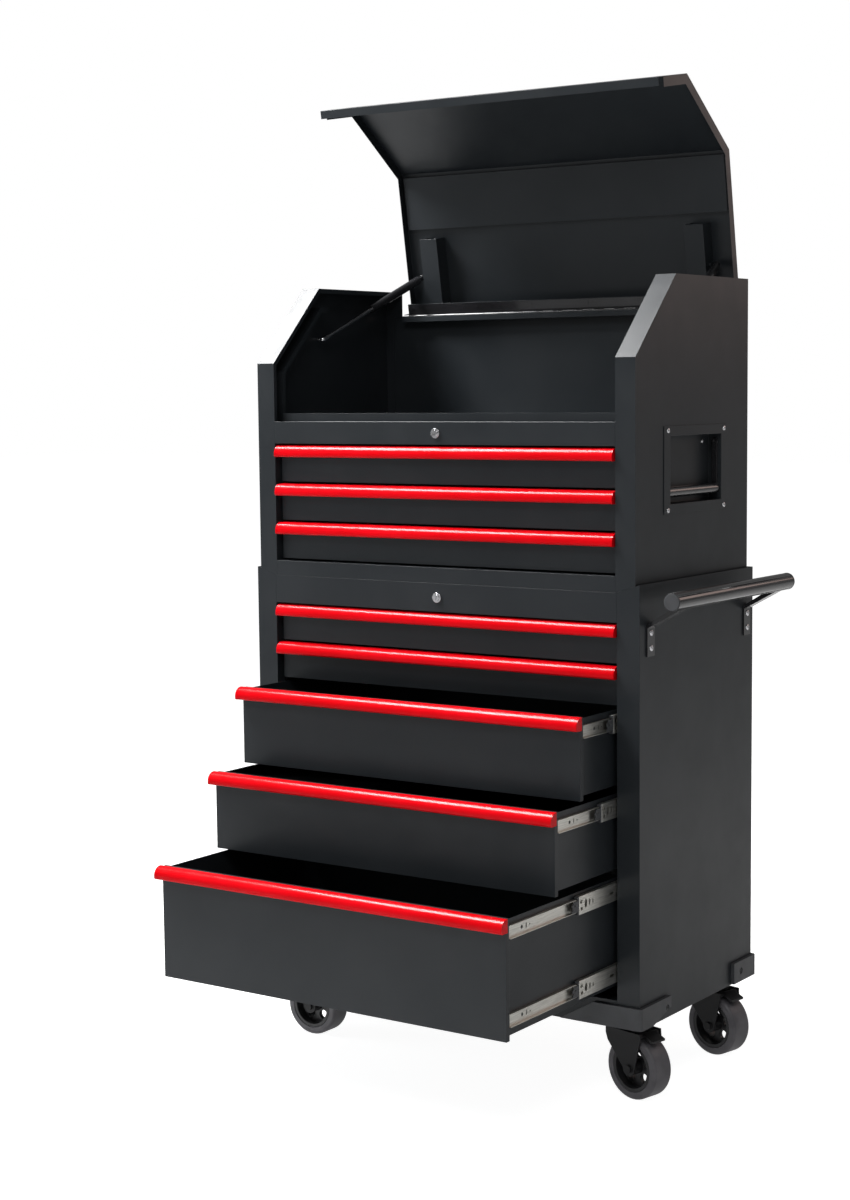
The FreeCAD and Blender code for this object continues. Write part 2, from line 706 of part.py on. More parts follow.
def strut_cylinder():
    length, line = strut_line()
    start = length - STRUT_TUBE_LENGTH
    tube_end = length - 14
    tube = cylinder(along_strut(start), line, STRUT_TUBE_R, tube_end - start)
    bore = cylinder(along_strut(start + 6), line, STRUT_BORE_R, tube_end - start - 12)
    guide = cylinder(along_strut(start - 1), line, STRUT_ROD_R + RUN_FIT, 10.0)
    neck = cylinder(along_strut(tube_end - 1), line, STRUT_NECK_R, 15.0)
    socket = Part.makeSphere(STRUT_SOCKET_R, STRUT_HIGH)
    return fuse([tube.cut(bore), neck, socket]).cut(guide)


# ---------------------------------------------------------------- handles

def handle_pan():
    y0, y1, z0, z1 = PAN_WINDOW
    py0, py1, pz0, pz1 = PAN_PLATE
    outer = CHEST_HALF_WIDTH
    plate = box(outer, outer + PAN_PLATE_THICK, py0, py1, pz0, pz1)
    pocket = box(PAN_BACK, outer, y0 - SHEET, y1 + SHEET, z0 - SHEET, z1 + SHEET)
    hollow = box(PAN_BACK + SHEET, outer + PAN_PLATE_THICK + 1, y0, y1, z0, z1)
    bore_r = BAIL_PIN_R + BAIL_FIT
    bore = cylinder(Vec(BAIL_PIVOT_X, y0 - 2, BAIL_PIVOT_Z), Vec(0, 1, 0), bore_r, y1 - y0 + 4)
    return fuse([plate, pocket]).cut(hollow).cut(bore)


def bail():
    y0, y1 = PAN_WINDOW[0], PAN_WINDOW[1]
    pieces = []
    for start in (y0 + 1, y1 - 1 - BAIL_ARM_THICK):
        end = start + BAIL_ARM_THICK
        half = BAIL_ARM_WIDTH / 2
        arm = box(BAIL_PIVOT_X - half, BAIL_PIVOT_X + half, start, end, BAIL_GRIP_Z, BAIL_PIVOT_Z)
        boss = cylinder(Vec(BAIL_PIVOT_X, start, BAIL_PIVOT_Z), Vec(0, 1, 0), half + 1, BAIL_ARM_THICK)
        pieces += [arm, boss]
    length = y1 - y0 - 2
    grip = cylinder(Vec(BAIL_PIVOT_X, y0 + 1, BAIL_GRIP_Z), Vec(0, 1, 0), BAIL_GRIP_R, length)
    near_pin = cylinder(Vec(BAIL_PIVOT_X, y0 - SHEET, BAIL_PIVOT_Z), Vec(0, 1, 0), BAIL_PIN_R, 1 + SHEET)
    far_pin = cylinder(Vec(BAIL_PIVOT_X, y1 - 1, BAIL_PIVOT_Z), Vec(0, 1, 0), BAIL_PIN_R, 1 + SHEET)
    return fuse(pieces + [grip, near_pin, far_pin])


def push_handle():
    length = TUBE_BACK - TUBE_FRONT
    tube = cylinder(Vec(TUBE_X, TUBE_FRONT + 2, TUBE_Z), Vec(0, 1, 0), TUBE_R, length - 4)
    bore = cylinder(Vec(TUBE_X, TUBE_FRONT, TUBE_Z), Vec(0, 1, 0), TUBE_R - TUBE_WALL, length)
    pieces = [tube]
    wall = CABINET_HALF_WIDTH
    t = ARM_THICK
    profile = [
        (wall, ARM_BOTTOM_Z), (wall + t, ARM_BOTTOM_Z), (wall + t, ARM_BEND_Z - t),
        (TUBE_X + 2, TUBE_Z - 14 - t), (TUBE_X - 4, TUBE_Z - 8), (wall, ARM_BEND_Z + t),
    ]
    for middle in ARM_YS:
        y0 = middle - ARM_HALF_WIDTH
        y1 = middle + ARM_HALF_WIDTH
        pieces.append(prism_y(profile, y0, y1))
    body = fuse(pieces).cut(bore)
    caps = []
    for start, sign in ((TUBE_FRONT, 1), (TUBE_BACK, -1)):
        disc = cylinder(Vec(TUBE_X, start, TUBE_Z), Vec(0, sign, 0), TUBE_R, 2.0)
        plug = cylinder(Vec(TUBE_X, start + 2 * sign, TUBE_Z), Vec(0, sign, 0), TUBE_R - TUBE_WALL, 8.0)
        caps.append(fuse([disc, plug]))
    return group([body] + caps)


# ---------------------------------------------------------------- casters

def wheel(centre):
    """Tyre and spoked hub, turned about y."""
    along = Vec(0, 1, 0)
    half = WHEEL_WIDTH / 2
    at = Vec(centre.x, centre.y - half, centre.z)
    tyre = cylinder(at, along, WHEEL_R, WHEEL_WIDTH)
    rims = [edge for edge in tyre.Edges if edge.Length > 6 * WHEEL_R and len(edge.Vertexes) == 1]
    tyre = tyre.makeFillet(7.0, rims)
    tyre = tyre.cut(cylinder(at, along, TYRE_INNER_R, WHEEL_WIDTH))
    rim_at = Vec(centre.x, centre.y - half + 1, centre.z)
    rim = cylinder(rim_at, along, TYRE_INNER_R, WHEEL_WIDTH - 2)
    rim = rim.cut(cylinder(rim_at, along, RIM_INNER_R, WHEEL_WIDTH - 2))
    web = cylinder(Vec(centre.x, centre.y - WEB_HALF, centre.z), along, RIM_INNER_R, 2 * WEB_HALF)
    windows = []
    for n in range(SPOKES):
        angle = 2 * math.pi * n / SPOKES + math.pi / 2
        x = centre.x + 27 * math.cos(angle)
        z = centre.z + 27 * math.sin(angle)
        windows.append(cylinder(Vec(x, centre.y - WEB_HALF - 1, z), along, 9.5, 2 * WEB_HALF + 2))
    boss = cylinder(Vec(centre.x, centre.y - BOSS_HALF, centre.z), along, BOSS_R, 2 * BOSS_HALF)
    bore = cylinder(Vec(centre.x, centre.y - BOSS_HALF - 1, centre.z), along, AXLE_R + WHEEL_FIT,
                    2 * BOSS_HALF + 2)
    hub = fuse([rim, web, boss]).cut(group(windows)).cut(bore)
    return group([tyre, hub])


def axle(centre):
    reach = LEG_INNER + LEG_THICK
    shaft = cylinder(Vec(centre.x, centre.y - reach, centre.z), Vec(0, 1, 0), AXLE_R, 2 * reach)
    head = cylinder(Vec(centre.x, centre.y - reach, centre.z), Vec(0, -1, 0), 8.0, 5.0)
    nut = cylinder(Vec(centre.x, centre.y + reach, centre.z), Vec(0, 1, 0), 8.0, 6.0)
    return [shaft, head, nut]


def rounded_leg(points, centre, radius):
    """One fork leg: a plate with a round end about the axle."""
    plate = prism_y(points, LEG_INNER, LEG_INNER + LEG_THICK)
    end = cylinder(Vec(centre.x, LEG_INNER, centre.z), Vec(0, 1, 0), radius, LEG_THICK)
    return fuse([plate, end])


def pair_of_legs(leg):
    return [leg, leg.mirror(Vec(0, 0, 0), Vec(0, 1, 0))]


def swivel_fork_local():
    """Fork about its own swivel axis at x = y = 0, trailing along +x."""
    top = CABINET_BOTTOM - PLATE_THICK - RACE_DEPTH - CROWN_GAP
    under = top - CROWN_THICK
    centre = Vec(SWIVEL_TRAIL, 0, FLOOR + WHEEL_R)
    reach = LEG_INNER + LEG_THICK
    crown = box(-32, 38, -reach, reach, under, top)
    hole = cylinder(Vec(0, 0, under - 1), Vec(0, 0, 1), KINGPIN_R + WHEEL_FIT, CROWN_THICK + 2)
    pivot_z = pedal_pivot_z()
    points = [
        (-32, top), (56, top), (57, pivot_z - 6), (centre.x + 15, centre.z), (centre.x - 15, centre.z),
        (-27, top - 26), (-32, top - 12),
    ]
    legs = pair_of_legs(rounded_leg(points, centre, LEG_END_R))
    body = fuse([crown] + legs).cut(hole)
    pin = cylinder(Vec(PEDAL_PIVOT_X, -reach, pivot_z), Vec(0, 1, 0), PEDAL_PIN_R, 2 * reach)
    return fuse([body, pin] + axle(centre))


def pedal_pivot_z():
    return CABINET_BOTTOM - PEDAL_PIVOT_DROP


def pedal_local():
    z = pedal_pivot_z()
    x = PEDAL_PIVOT_X
    length = 2 * LEG_INNER - 2
    barrel = cylinder(Vec(x, -length / 2, z), Vec(0, 1, 0), PEDAL_BARREL_R, length)
    tip = x + PEDAL_REACH
    nose = [(tip, z - PEDAL_DROP), (tip, z - PEDAL_DROP - 4), (tip - 3, z - PEDAL_DROP - 4)]
    arm = [(x - 1, z + 4.4), (x + 4, z + 4.4)] + nose + [(x + 4, z - 0.5), (x - 1, z)]
    tread = prism_y(arm, -PEDAL_HALF_WIDTH, PEDAL_HALF_WIDTH)
    bore = cylinder(Vec(x, -length, z), Vec(0, 1, 0), PEDAL_PIN_R + WHEEL_FIT, 2 * length)
    return fuse([barrel, tread]).cut(bore)


def turned_to_swivel(shape, y):
    placed = shape.copy()
    placed.rotate(Vec(0, 0, 0), Vec(0, 0, 1), SWIVEL_TURN_DEG)
    placed.translate(Vec(SWIVEL_X, y, 0))
    return placed


def swivel_wheel_local():
    return wheel(Vec(SWIVEL_TRAIL, 0, FLOOR + WHEEL_R))


def bolt_positions(x, y):
    return [(x + sx * CASTER_BOLT_X, y + sy * CASTER_BOLT_Y) for sx in (-1, 1) for sy in (-1, 1)]


def caster_mounts():
    """Top plates, races and kingpins of the swivel casters, and the two complete fixed forks."""
    solids = []
    down = Vec(0, 0, -1)
    bottom = CABINET_BOTTOM
    for y in SWIVEL_YS:
        plate = box(SWIVEL_X - PLATE_HALF_X, SWIVEL_X + PLATE_HALF_X, y - PLATE_HALF_Y, y + PLATE_HALF_Y,
                    bottom - PLATE_THICK, bottom)
        race = cylinder(Vec(SWIVEL_X, y, bottom - PLATE_THICK), down, RACE_R, RACE_DEPTH)
        kingpin = cylinder(Vec(SWIVEL_X, y, bottom), down, KINGPIN_R,
                           PLATE_THICK + RACE_DEPTH + CROWN_GAP + CROWN_THICK + 1)
        solids.append(fuse([plate, race, kingpin]))
    for y in FIXED_YS:
        plate = box(-PLATE_HALF_X, PLATE_HALF_X, -PLATE_HALF_Y, PLATE_HALF_Y, bottom - PLATE_THICK, bottom)
        centre = Vec(0, 0, FLOOR + WHEEL_R)
        points = [(-34, bottom - PLATE_THICK), (34, bottom - PLATE_THICK), (15, centre.z), (-15, centre.z)]
        legs = pair_of_legs(rounded_leg(points, centre, LEG_END_R))
        fork = fuse([plate] + legs + axle(centre))
        fork.translate(Vec(FIXED_X, y, 0))
        solids.append(fork)
    return group(solids)


# ---------------------------------------------------------------- bumpers, locks, fasteners

def corner_bumpers():
    """Moulded guards round the four bottom corners, each with a recess for its screw."""
    wall = CABINET_HALF_WIDTH
    back = CABINET_DEPTH
    t = BUMPER_THICK
    low, high = BUMPER_BOTTOM, BUMPER_TOP
    reach = BUMPER_SIDE_REACH
    step = (low + high) / 2
    front = prism_y([(BUMPER_FRONT_LOW, low), (wall + t, low), (wall + t, high), (BUMPER_FRONT_HIGH, high)],
                    -t, 0)
    front_side = prism_x([(0, low), (40, low), (reach, step), (reach, high), (0, high)], wall, wall + t)
    rear_start = back - BUMPER_REAR_REACH
    rear_side = prism_x([(rear_start, low), (back, low), (back, high), (rear_start, high)], wall, wall + t)
    rear = prism_y([(BUMPER_BACK_LOW, low), (wall + t, low), (wall + t, high), (BUMPER_BACK_HIGH, high)],
                   back, back + t)
    pieces = []
    corners = (([front, front_side], -t), ([rear, rear_side], back + t))
    for (parts, corner_y), hole_y in zip(corners, BUMPER_SCREW_YS):
        guard = fuse(parts)
        upright_edges = edges_along(
            guard, Vec(0, 0, 1), lambda p: p.x > wall + t - 1 and abs(p.y - corner_y) < 1)
        guard = guard.makeFillet(BUMPER_ROUND, upright_edges)
        recess = cylinder(Vec(wall + t - BUMPER_RECESS, hole_y, BUMPER_SCREW_Z), Vec(1, 0, 0),
                          SCREW_R + 1.5, BUMPER_RECESS + 1)
        guard = guard.cut(recess)
        pieces += both_sides(guard)
    return group(pieces)


def lock_plug(height):
    """The key plug with its slot and cam."""
    plug = cylinder(Vec(0, PLUG_FRONT, height), Vec(0, 1, 0), LOCK_PLUG_R, CAM_FRONT - PLUG_FRONT)
    slot = box(-1, 1, PLUG_FRONT - 1, PLUG_FRONT + 3, height - 4, height + 4)
    cam_back = CAM_FRONT + CAM_THICK
    cam = box(-CAM_HALF, CAM_REACH, CAM_FRONT, cam_back, height - CAM_HALF, height + CAM_HALF)
    return fuse([plug.cut(slot), cam])


def lock_housing(height):
    flange = cylinder(Vec(0, -3.2, height), Vec(0, 1, 0), LOCK_FLANGE_R, 3.2)
    barrel = cylinder(Vec(0, 0, height), Vec(0, 1, 0), LOCK_BARREL_R, 22.0)
    bore = cylinder(Vec(0, -4, height), Vec(0, 1, 0), LOCK_PLUG_R + RUN_FIT, 28.0)
    return fuse([flange, barrel]).cut(bore)


def pan_head(at, direction, radius=SCREW_R):
    """A domed screw head with a cross recess left plain."""
    head = cylinder(at, direction, radius, SCREW_HEIGHT)
    rim = [edge for edge in head.Edges
           if len(edge.Vertexes) == 1 and (edge.CenterOfMass - at).Length > SCREW_HEIGHT / 2]
    return head.makeFillet(SCREW_HEIGHT * 0.7, rim)


def fasteners():
    heads = []
    right = Vec(1, 0, 0)
    plate_x = CHEST_HALF_WIDTH + PAN_PLATE_THICK
    for y in PAN_SCREW_YS:
        for z in PAN_SCREW_ZS:
            heads += both_sides(pan_head(Vec(plate_x, y, z), right))
    for y in POCKET_SCREW_YS:
        heads += both_sides(pan_head(Vec(PAN_BACK + SHEET, y, POCKET_SCREW_Z), right, SMALL_SCREW_R))
    for y in BUMPER_SCREW_YS:
        seat = Vec(CABINET_HALF_WIDTH + BUMPER_THICK - BUMPER_RECESS, y, BUMPER_SCREW_Z)
        heads += both_sides(pan_head(seat, right))
    for y in ARM_YS:
        for z in BOLT_ZS:
            heads.append(pan_head(Vec(CABINET_HALF_WIDTH + ARM_THICK, y, z), right, BOLT_R))
    casters = [(SWIVEL_X, y) for y in SWIVEL_YS] + [(FIXED_X, y) for y in FIXED_YS]
    for x, y in casters:
        for bx, by in bolt_positions(x, y):
            heads.append(pan_head(Vec(bx, by, CABINET_BOTTOM - PLATE_THICK), Vec(0, 0, -1), BOLT_R))
    heads.append(lock_housing(LOCK_CABINET_Z))
    heads.append(lock_housing(LOCK_CHEST_Z))
    stud_at = Vec(CHEST_HALF_WIDTH - SHEET, STRUT_LOW.y, STRUT_LOW.z)
    heads += both_sides(cylinder(stud_at, Vec(-1, 0, 0), STUD_R, STUD_REACH))
    return group(heads)


# ---------------------------------------------------------------- all nodes

def build_nodes():
    nodes = {
        "cabinet_side_panels": group(both_sides(cabinet_side())),
        "cabinet_back_panel": cabinet_back(),
        "cabinet_top_deck": cabinet_deck(),
        "cabinet_base_pan": cabinet_base(),
        "slide_uprights": slide_uprights(),
        "slide_case_members": case_members(),
        "chest_side_panels": group(both_sides(chest_side()) + both_sides(chest_jamb())),
        "chest_back_panel": chest_back(),
        "chest_till_floor": till_floor(),
        "chest_top_rail": chest_top_rail(),
        "chest_base_pan": chest_base(),
        "hinge_body_leaf": hinge_body_leaf(),
        "side_handle_pans": group(both_sides(handle_pan())),
        "push_handle": push_handle(),
        "corner_bumpers": corner_bumpers(),
        "caster_mounts": caster_mounts(),
        "fasteners": fasteners(),
        "lid_shell": lid_shell(),
        "lid_brackets": lid_brackets(),
        "hinge_lid_leaf": hinge_lid_leaf(),
        "strut_rod_right": strut_rod(),
        "strut_rod_left": mirrored(strut_rod()),
        "strut_cylinder_right": strut_cylinder(),
        "strut_cylinder_left": mirrored(strut_cylinder()),
        "side_bail_right": bail(),
        "side_bail_left": mirrored(bail()),
        "cabinet_lock_plug": lock_plug(LOCK_CABINET_Z),
        "chest_lock_plug": lock_plug(LOCK_CHEST_Z),
    }
    for drawers, wall, opening, back in (
            (CABINET_DRAWERS, SLIDE_WALL_CABINET, CABINET_OPENING_HALF, BOX_BACK),
            (CHEST_DRAWERS, SLIDE_WALL_CHEST, CHEST_OPENING_HALF, CHEST_BOX_BACK)):
        for drawer in drawers:
            name = drawer[0]
            nodes[name + "_box"] = drawer_box(drawer, wall, opening, back)
            nodes[name + "_handle"] = drawer_handle(drawer, opening)
            nodes[name + "_slide_mids"] = drawer_mid_members(drawer, wall)
    for side, y in zip(("front", "rear"), SWIVEL_YS):
        nodes["swivel_fork_" + side] = turned_to_swivel(swivel_fork_local(), y)
        nodes["brake_pedal_" + side] = turned_to_swivel(pedal_local(), y)
        nodes["swivel_wheel_" + side] = turned_to_swivel(swivel_wheel_local(), y)
    for side, y in zip(("front", "rear"), FIXED_YS):
        nodes["fixed_wheel_" + side] = wheel(Vec(FIXED_X, y, FLOOR + WHEEL_R))
    return nodes


def main():
    nodes = build_nodes()
    bounds = Part.makeCompound(list(nodes.values())).optimalBoundingBox(False)
    shift = Vec(-(bounds.XMin + bounds.XMax) / 2, -(bounds.YMin + bounds.YMax) / 2, -bounds.ZMin)
    os.makedirs("parts", exist_ok=True)
    for name, shape in nodes.items():
        shape.translate(shift)
        shape.exportStep("parts/" + name + ".step")
    print("shift", shift, "size", bounds.XLength, bounds.YLength, bounds.ZLength)
    print(len(nodes), "nodes")


main()
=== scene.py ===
# %% [markdown]
# # A rolling tool chest, dressed for the studio
# The solid model of the chest is already made and packed: every sheet, slide, wheel and strut is
# where it belongs and hangs on the body that moves it. This lesson gives those parts the look of
# the real thing: folded sheet steel under charcoal powder coat, glossy red pull rails, zinc slides,
# chrome locks, a black gas strut on a bright rod, and hard wheels under the cabinet.

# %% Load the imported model
import json
import math

import bmesh
import bpy
from mathutils import Matrix, Vector

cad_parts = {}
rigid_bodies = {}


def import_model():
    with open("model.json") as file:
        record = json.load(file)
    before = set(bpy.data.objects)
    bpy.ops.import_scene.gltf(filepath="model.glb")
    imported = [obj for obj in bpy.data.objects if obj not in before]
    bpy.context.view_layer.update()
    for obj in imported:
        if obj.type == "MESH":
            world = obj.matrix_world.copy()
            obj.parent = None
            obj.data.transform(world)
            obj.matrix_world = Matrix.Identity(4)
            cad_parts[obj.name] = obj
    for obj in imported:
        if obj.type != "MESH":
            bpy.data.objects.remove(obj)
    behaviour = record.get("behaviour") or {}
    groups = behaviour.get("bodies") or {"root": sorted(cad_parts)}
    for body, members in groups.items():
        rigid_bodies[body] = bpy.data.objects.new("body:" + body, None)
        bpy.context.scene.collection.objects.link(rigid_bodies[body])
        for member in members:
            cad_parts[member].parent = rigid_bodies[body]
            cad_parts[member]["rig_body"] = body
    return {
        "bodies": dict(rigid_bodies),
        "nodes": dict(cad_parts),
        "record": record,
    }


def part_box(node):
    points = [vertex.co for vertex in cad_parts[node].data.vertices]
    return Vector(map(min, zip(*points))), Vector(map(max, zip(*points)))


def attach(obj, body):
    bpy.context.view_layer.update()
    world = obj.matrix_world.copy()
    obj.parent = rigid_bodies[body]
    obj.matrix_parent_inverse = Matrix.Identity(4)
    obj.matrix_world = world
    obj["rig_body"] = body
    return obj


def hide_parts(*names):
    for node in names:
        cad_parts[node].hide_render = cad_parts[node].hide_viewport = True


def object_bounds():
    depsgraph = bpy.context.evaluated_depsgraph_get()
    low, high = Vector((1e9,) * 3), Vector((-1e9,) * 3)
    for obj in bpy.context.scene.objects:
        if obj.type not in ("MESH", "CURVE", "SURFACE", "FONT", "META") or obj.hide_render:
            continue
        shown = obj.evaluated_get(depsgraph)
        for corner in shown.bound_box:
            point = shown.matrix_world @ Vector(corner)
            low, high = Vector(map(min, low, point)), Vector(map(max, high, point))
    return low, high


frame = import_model()
cad_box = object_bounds()
print("model box", [round(v, 3) for v in cad_box[0]], [round(v, 3) for v in cad_box[1]])

# %% [markdown]
# A drawing of sheet-metal work is dimensioned from one corner. Here the corner is the middle of the
# cabinet's front face, at its top edge: x runs to the right, y to the back, z up, in millimetres.
# `at` turns such a place into metres in the model's own frame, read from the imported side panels, so
# nothing here depends on where the model happens to stand.

# %% The maker's datum
MM = 0.001
side_low, side_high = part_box("cabinet_side_panels")
DATUM = Vector(((side_low.x + side_high.x) / 2, side_low.y, side_high.z))


def at(x, y, z):
    return DATUM + Vector((x, y, z)) * MM


print("datum", [round(v, 4) for v in DATUM])

# %% [markdown]
# The camera stands about four metres off, to the right of the front, a little above the middle, and
# looks slightly down. A long lens keeps the sides nearly parallel. The frame is taller than wide,
# so the sensor's 36 mm is the tall side. The small vertical shift only centres the frame.

# %% Camera
CAMERA_PLACE = (2406.2, -3509.2, 375.0)
CAMERA_TURN_DEG = 34.77
CAMERA_DOWN_DEG = 5.93
CAMERA_ROLL_DEG = -0.6
LENS_MM = 64.64
SENSOR_MM = 36.0
FRAME_SHIFT = 0.0075
camera_data = bpy.data.cameras.new("studio_camera")
camera = bpy.data.objects.new("studio_camera", camera_data)
bpy.context.scene.collection.objects.link(camera)
camera_data.lens = LENS_MM
camera_data.sensor_width = SENSOR_MM
camera_data.shift_y = FRAME_SHIFT
camera.location = at(*CAMERA_PLACE)
turn = Matrix.Rotation(math.radians(CAMERA_TURN_DEG), 4, "Z")
tip = Matrix.Rotation(math.radians(90 - CAMERA_DOWN_DEG), 4, "X")
roll = Matrix.Rotation(math.radians(CAMERA_ROLL_DEG), 4, "Z")
camera.rotation_euler = (turn @ tip @ roll).to_euler()
bpy.context.scene.camera = camera
print("camera at", [round(v, 3) for v in camera.location])

# %% [markdown]
# A product studio is mostly white cards. The backdrop is pure white to the camera, but only a soft
# part of it reaches the paint, so the black sheet stays black. One wide lamp hangs over the left
# shoulder: it draws the white line along every rounded top edge. A weaker one hangs high in front
# for the pull rails. A cool one stands far to the left, and a small warm one behind the right side
# lets the side panel fade from brown-black to black.

# %% Studio
FILL_STRENGTH = 0.19
BACKDROP_STRENGTH = 1.0
FLOOR_HALF = 30.0
FLOOR_GAP = 0.0005
# Each lamp: its place from the middle of the chest, width and height in metres, watts, colour.
LAMPS = {
    "lamp_overhead": ((-1.9, -0.6, 3.0), 1.7, 1.3, 360, (1, 1, 1)),
    "lamp_left": ((-3.9, -1.6, 0.9), 1.4, 3.0, 32, (0.88, 0.95, 1)),
    "lamp_front": ((1.6, -3.6, 3.2), 2.2, 1.2, 55, (1, 1, 1)),
    "lamp_right": ((2.4, 3.4, 1.3), 1.6, 1.2, 9, (1, 0.74, 0.66)),
}
scene = bpy.context.scene
scene.view_settings.view_transform = "Standard"
world = bpy.data.worlds.new("studio_fill")
scene.world = world
world.use_nodes = True
sky = world.node_tree
fill = sky.nodes["Background"]
fill.inputs["Color"].default_value = (1.0, 1.0, 1.0, 1.0)
fill.inputs["Strength"].default_value = FILL_STRENGTH
backdrop = sky.nodes.new("ShaderNodeBackground")
backdrop.inputs["Strength"].default_value = BACKDROP_STRENGTH
backdrop.inputs["Color"].default_value = (1.0, 1.0, 1.0, 1.0)
seen = sky.nodes.new("ShaderNodeLightPath")
either = sky.nodes.new("ShaderNodeMixShader")
sky.links.new(seen.outputs["Is Camera Ray"], either.inputs["Fac"])
sky.links.new(fill.outputs["Background"], either.inputs[1])
sky.links.new(backdrop.outputs["Background"], either.inputs[2])
sky.links.new(either.outputs["Shader"], sky.nodes["World Output"].inputs["Surface"])


def soft_lamp(name, place, target, width, height, watts, colour):
    """A rectangular lamp that shines from its place towards the target."""
    data = bpy.data.lights.new(name, "AREA")
    data.shape = "RECTANGLE"
    data.size = width
    data.size_y = height
    data.energy = watts
    data.color = colour
    lamp = bpy.data.objects.new(name, data)
    scene.collection.objects.link(lamp)
    lamp.location = place
    lamp.rotation_euler = (Vector(target) - Vector(place)).to_track_quat("-Z", "Y").to_euler()


middle = (cad_box[0] + cad_box[1]) / 2
for name, (place, width, height, watts, colour) in LAMPS.items():
    soft_lamp(name, middle + Vector(place), middle, width, height, watts, colour)

floor_mesh = bpy.data.meshes.new("studio_floor")
floor_form = bmesh.new()
bmesh.ops.create_grid(floor_form, x_segments=1, y_segments=1, size=FLOOR_HALF)
floor_form.to_mesh(floor_mesh)
floor_form.free()
studio_floor = bpy.data.objects.new("studio_floor", floor_mesh)
scene.collection.objects.link(studio_floor)
studio_floor.location.z = cad_box[0].z - FLOOR_GAP

# %% [markdown]
# Every finish is a Principled shader fed by small procedural patterns on Object coordinates, which
# are metres here. `Finish` keeps the wiring short: it makes the shader and offers noise, a colour
# ramp, a range for roughness, and a bump. Noise rarely strays far from a half, so the ramp and the
# range both start and end well inside nought and one.

# %% A helper for finishes
RAMP_ENDS = (0.35, 0.65)
NOISE_SPAN = (0.3, 0.7)


class Finish:
    def __init__(self, name, metallic=0.0, roughness=0.5, shine=0.5):
        self.material = bpy.data.materials.new(name)
        self.material.use_nodes = True
        self.nodes = self.material.node_tree.nodes
        self.links = self.material.node_tree.links
        self.shader = self.nodes["Principled BSDF"]
        self.shader.inputs["Metallic"].default_value = metallic
        self.shader.inputs["Roughness"].default_value = roughness
        self.shader.inputs["Specular IOR Level"].default_value = shine
        self.place = self.nodes.new("ShaderNodeTexCoord")

    def stretched(self, scale):
        mapping = self.nodes.new("ShaderNodeMapping")
        mapping.inputs["Scale"].default_value = scale
        self.links.new(self.place.outputs["Object"], mapping.inputs["Vector"])
        return mapping.outputs["Vector"]

    def noise(self, scale, detail, vector=None):
        """A cloudy pattern; scale counts the patches in a metre, detail the finer layers."""
        node = self.nodes.new("ShaderNodeTexNoise")
        node.inputs["Scale"].default_value = scale
        node.inputs["Detail"].default_value = detail
        self.links.new(vector or self.place.outputs["Object"], node.inputs["Vector"])
        return node.outputs["Fac"]

    def colour_from(self, pattern, dark, light):
        ramp = self.nodes.new("ShaderNodeValToRGB")
        for stop, place, colour in zip(ramp.color_ramp.elements, RAMP_ENDS, (dark, light)):
            stop.position = place
            stop.color = (*colour, 1)
        self.links.new(pattern, ramp.inputs["Fac"])
        self.links.new(ramp.outputs["Color"], self.shader.inputs["Base Color"])

    def roughness_from(self, pattern, low, high):
        span = self.nodes.new("ShaderNodeMapRange")
        span.inputs["From Min"].default_value = NOISE_SPAN[0]
        span.inputs["From Max"].default_value = NOISE_SPAN[1]
        span.inputs["To Min"].default_value = low
        span.inputs["To Max"].default_value = high
        self.links.new(pattern, span.inputs["Value"])
        self.links.new(span.outputs["Result"], self.shader.inputs["Roughness"])

    def bump_from(self, pattern, strength, distance):
        bump = self.nodes.new("ShaderNodeBump")
        bump.inputs["Strength"].default_value = strength
        bump.inputs["Distance"].default_value = distance
        self.links.new(pattern, bump.inputs["Height"])
        self.links.new(bump.outputs["Normal"], self.shader.inputs["Normal"])


# %% [markdown]
# Powder coat is baked plastic dust. It flows into a film that is nearly smooth, with a faint orange
# peel about a millimetre across and a soft satin gloss. The colour is a charcoal black that shifts
# very slightly over a panel, because the film is never quite even.

# %% Powder coats
POWDER_SHINE = 0.28


def powder_coat(name, dark, light, rough_low, rough_high):
    finish = Finish(name, shine=POWDER_SHINE)
    finish.colour_from(finish.noise(5.0, 3.0), dark, light)
    finish.roughness_from(finish.noise(18.0, 4.0), rough_low, rough_high)
    finish.bump_from(finish.noise(900.0, 2.0), 0.12, 0.0002)
    return finish.material


charcoal = powder_coat("charcoal powder coat",
                       (0.015, 0.018, 0.021), (0.020, 0.023, 0.026), 0.32, 0.40)
inner_black = powder_coat("inner black powder coat",
                          (0.010, 0.011, 0.012), (0.014, 0.015, 0.016), 0.42, 0.5)

# %% [markdown]
# The pull rails are the bright note: a deep signal red under a clear glossy coat. A coat layer on
# the shader gives the sharp reflection on top of the colour, and a very broad, weak ripple keeps
# the long highlight from being drawn with a ruler. The same paint in black is on the hinge, the
# struts and the handles, with a stronger coat.

# %% Glossy paints
COAT_ROUGHNESS = 0.06
ROUGHNESS_SWAY = 0.15


def glossy(name, dark, light, roughness, coat, shine):
    finish = Finish(name, roughness=roughness, shine=shine)
    finish.colour_from(finish.noise(7.0, 2.0), dark, light)
    finish.bump_from(finish.noise(14.0, 1.0), 0.02, 0.0004)
    finish.roughness_from(finish.noise(40.0, 3.0),
                          roughness * (1 - ROUGHNESS_SWAY), roughness * (1 + ROUGHNESS_SWAY))
    finish.shader.inputs["Coat Weight"].default_value = coat
    finish.shader.inputs["Coat Roughness"].default_value = COAT_ROUGHNESS
    return finish.material


rail_red = glossy("glossy red rail", (0.55, 0.001, 0.004), (0.63, 0.002, 0.007),
                  roughness=0.22, coat=0.10, shine=0.07)
gloss_black = glossy("gloss black paint", (0.010, 0.010, 0.011), (0.016, 0.016, 0.018),
                     roughness=0.22, coat=0.5, shine=0.4)

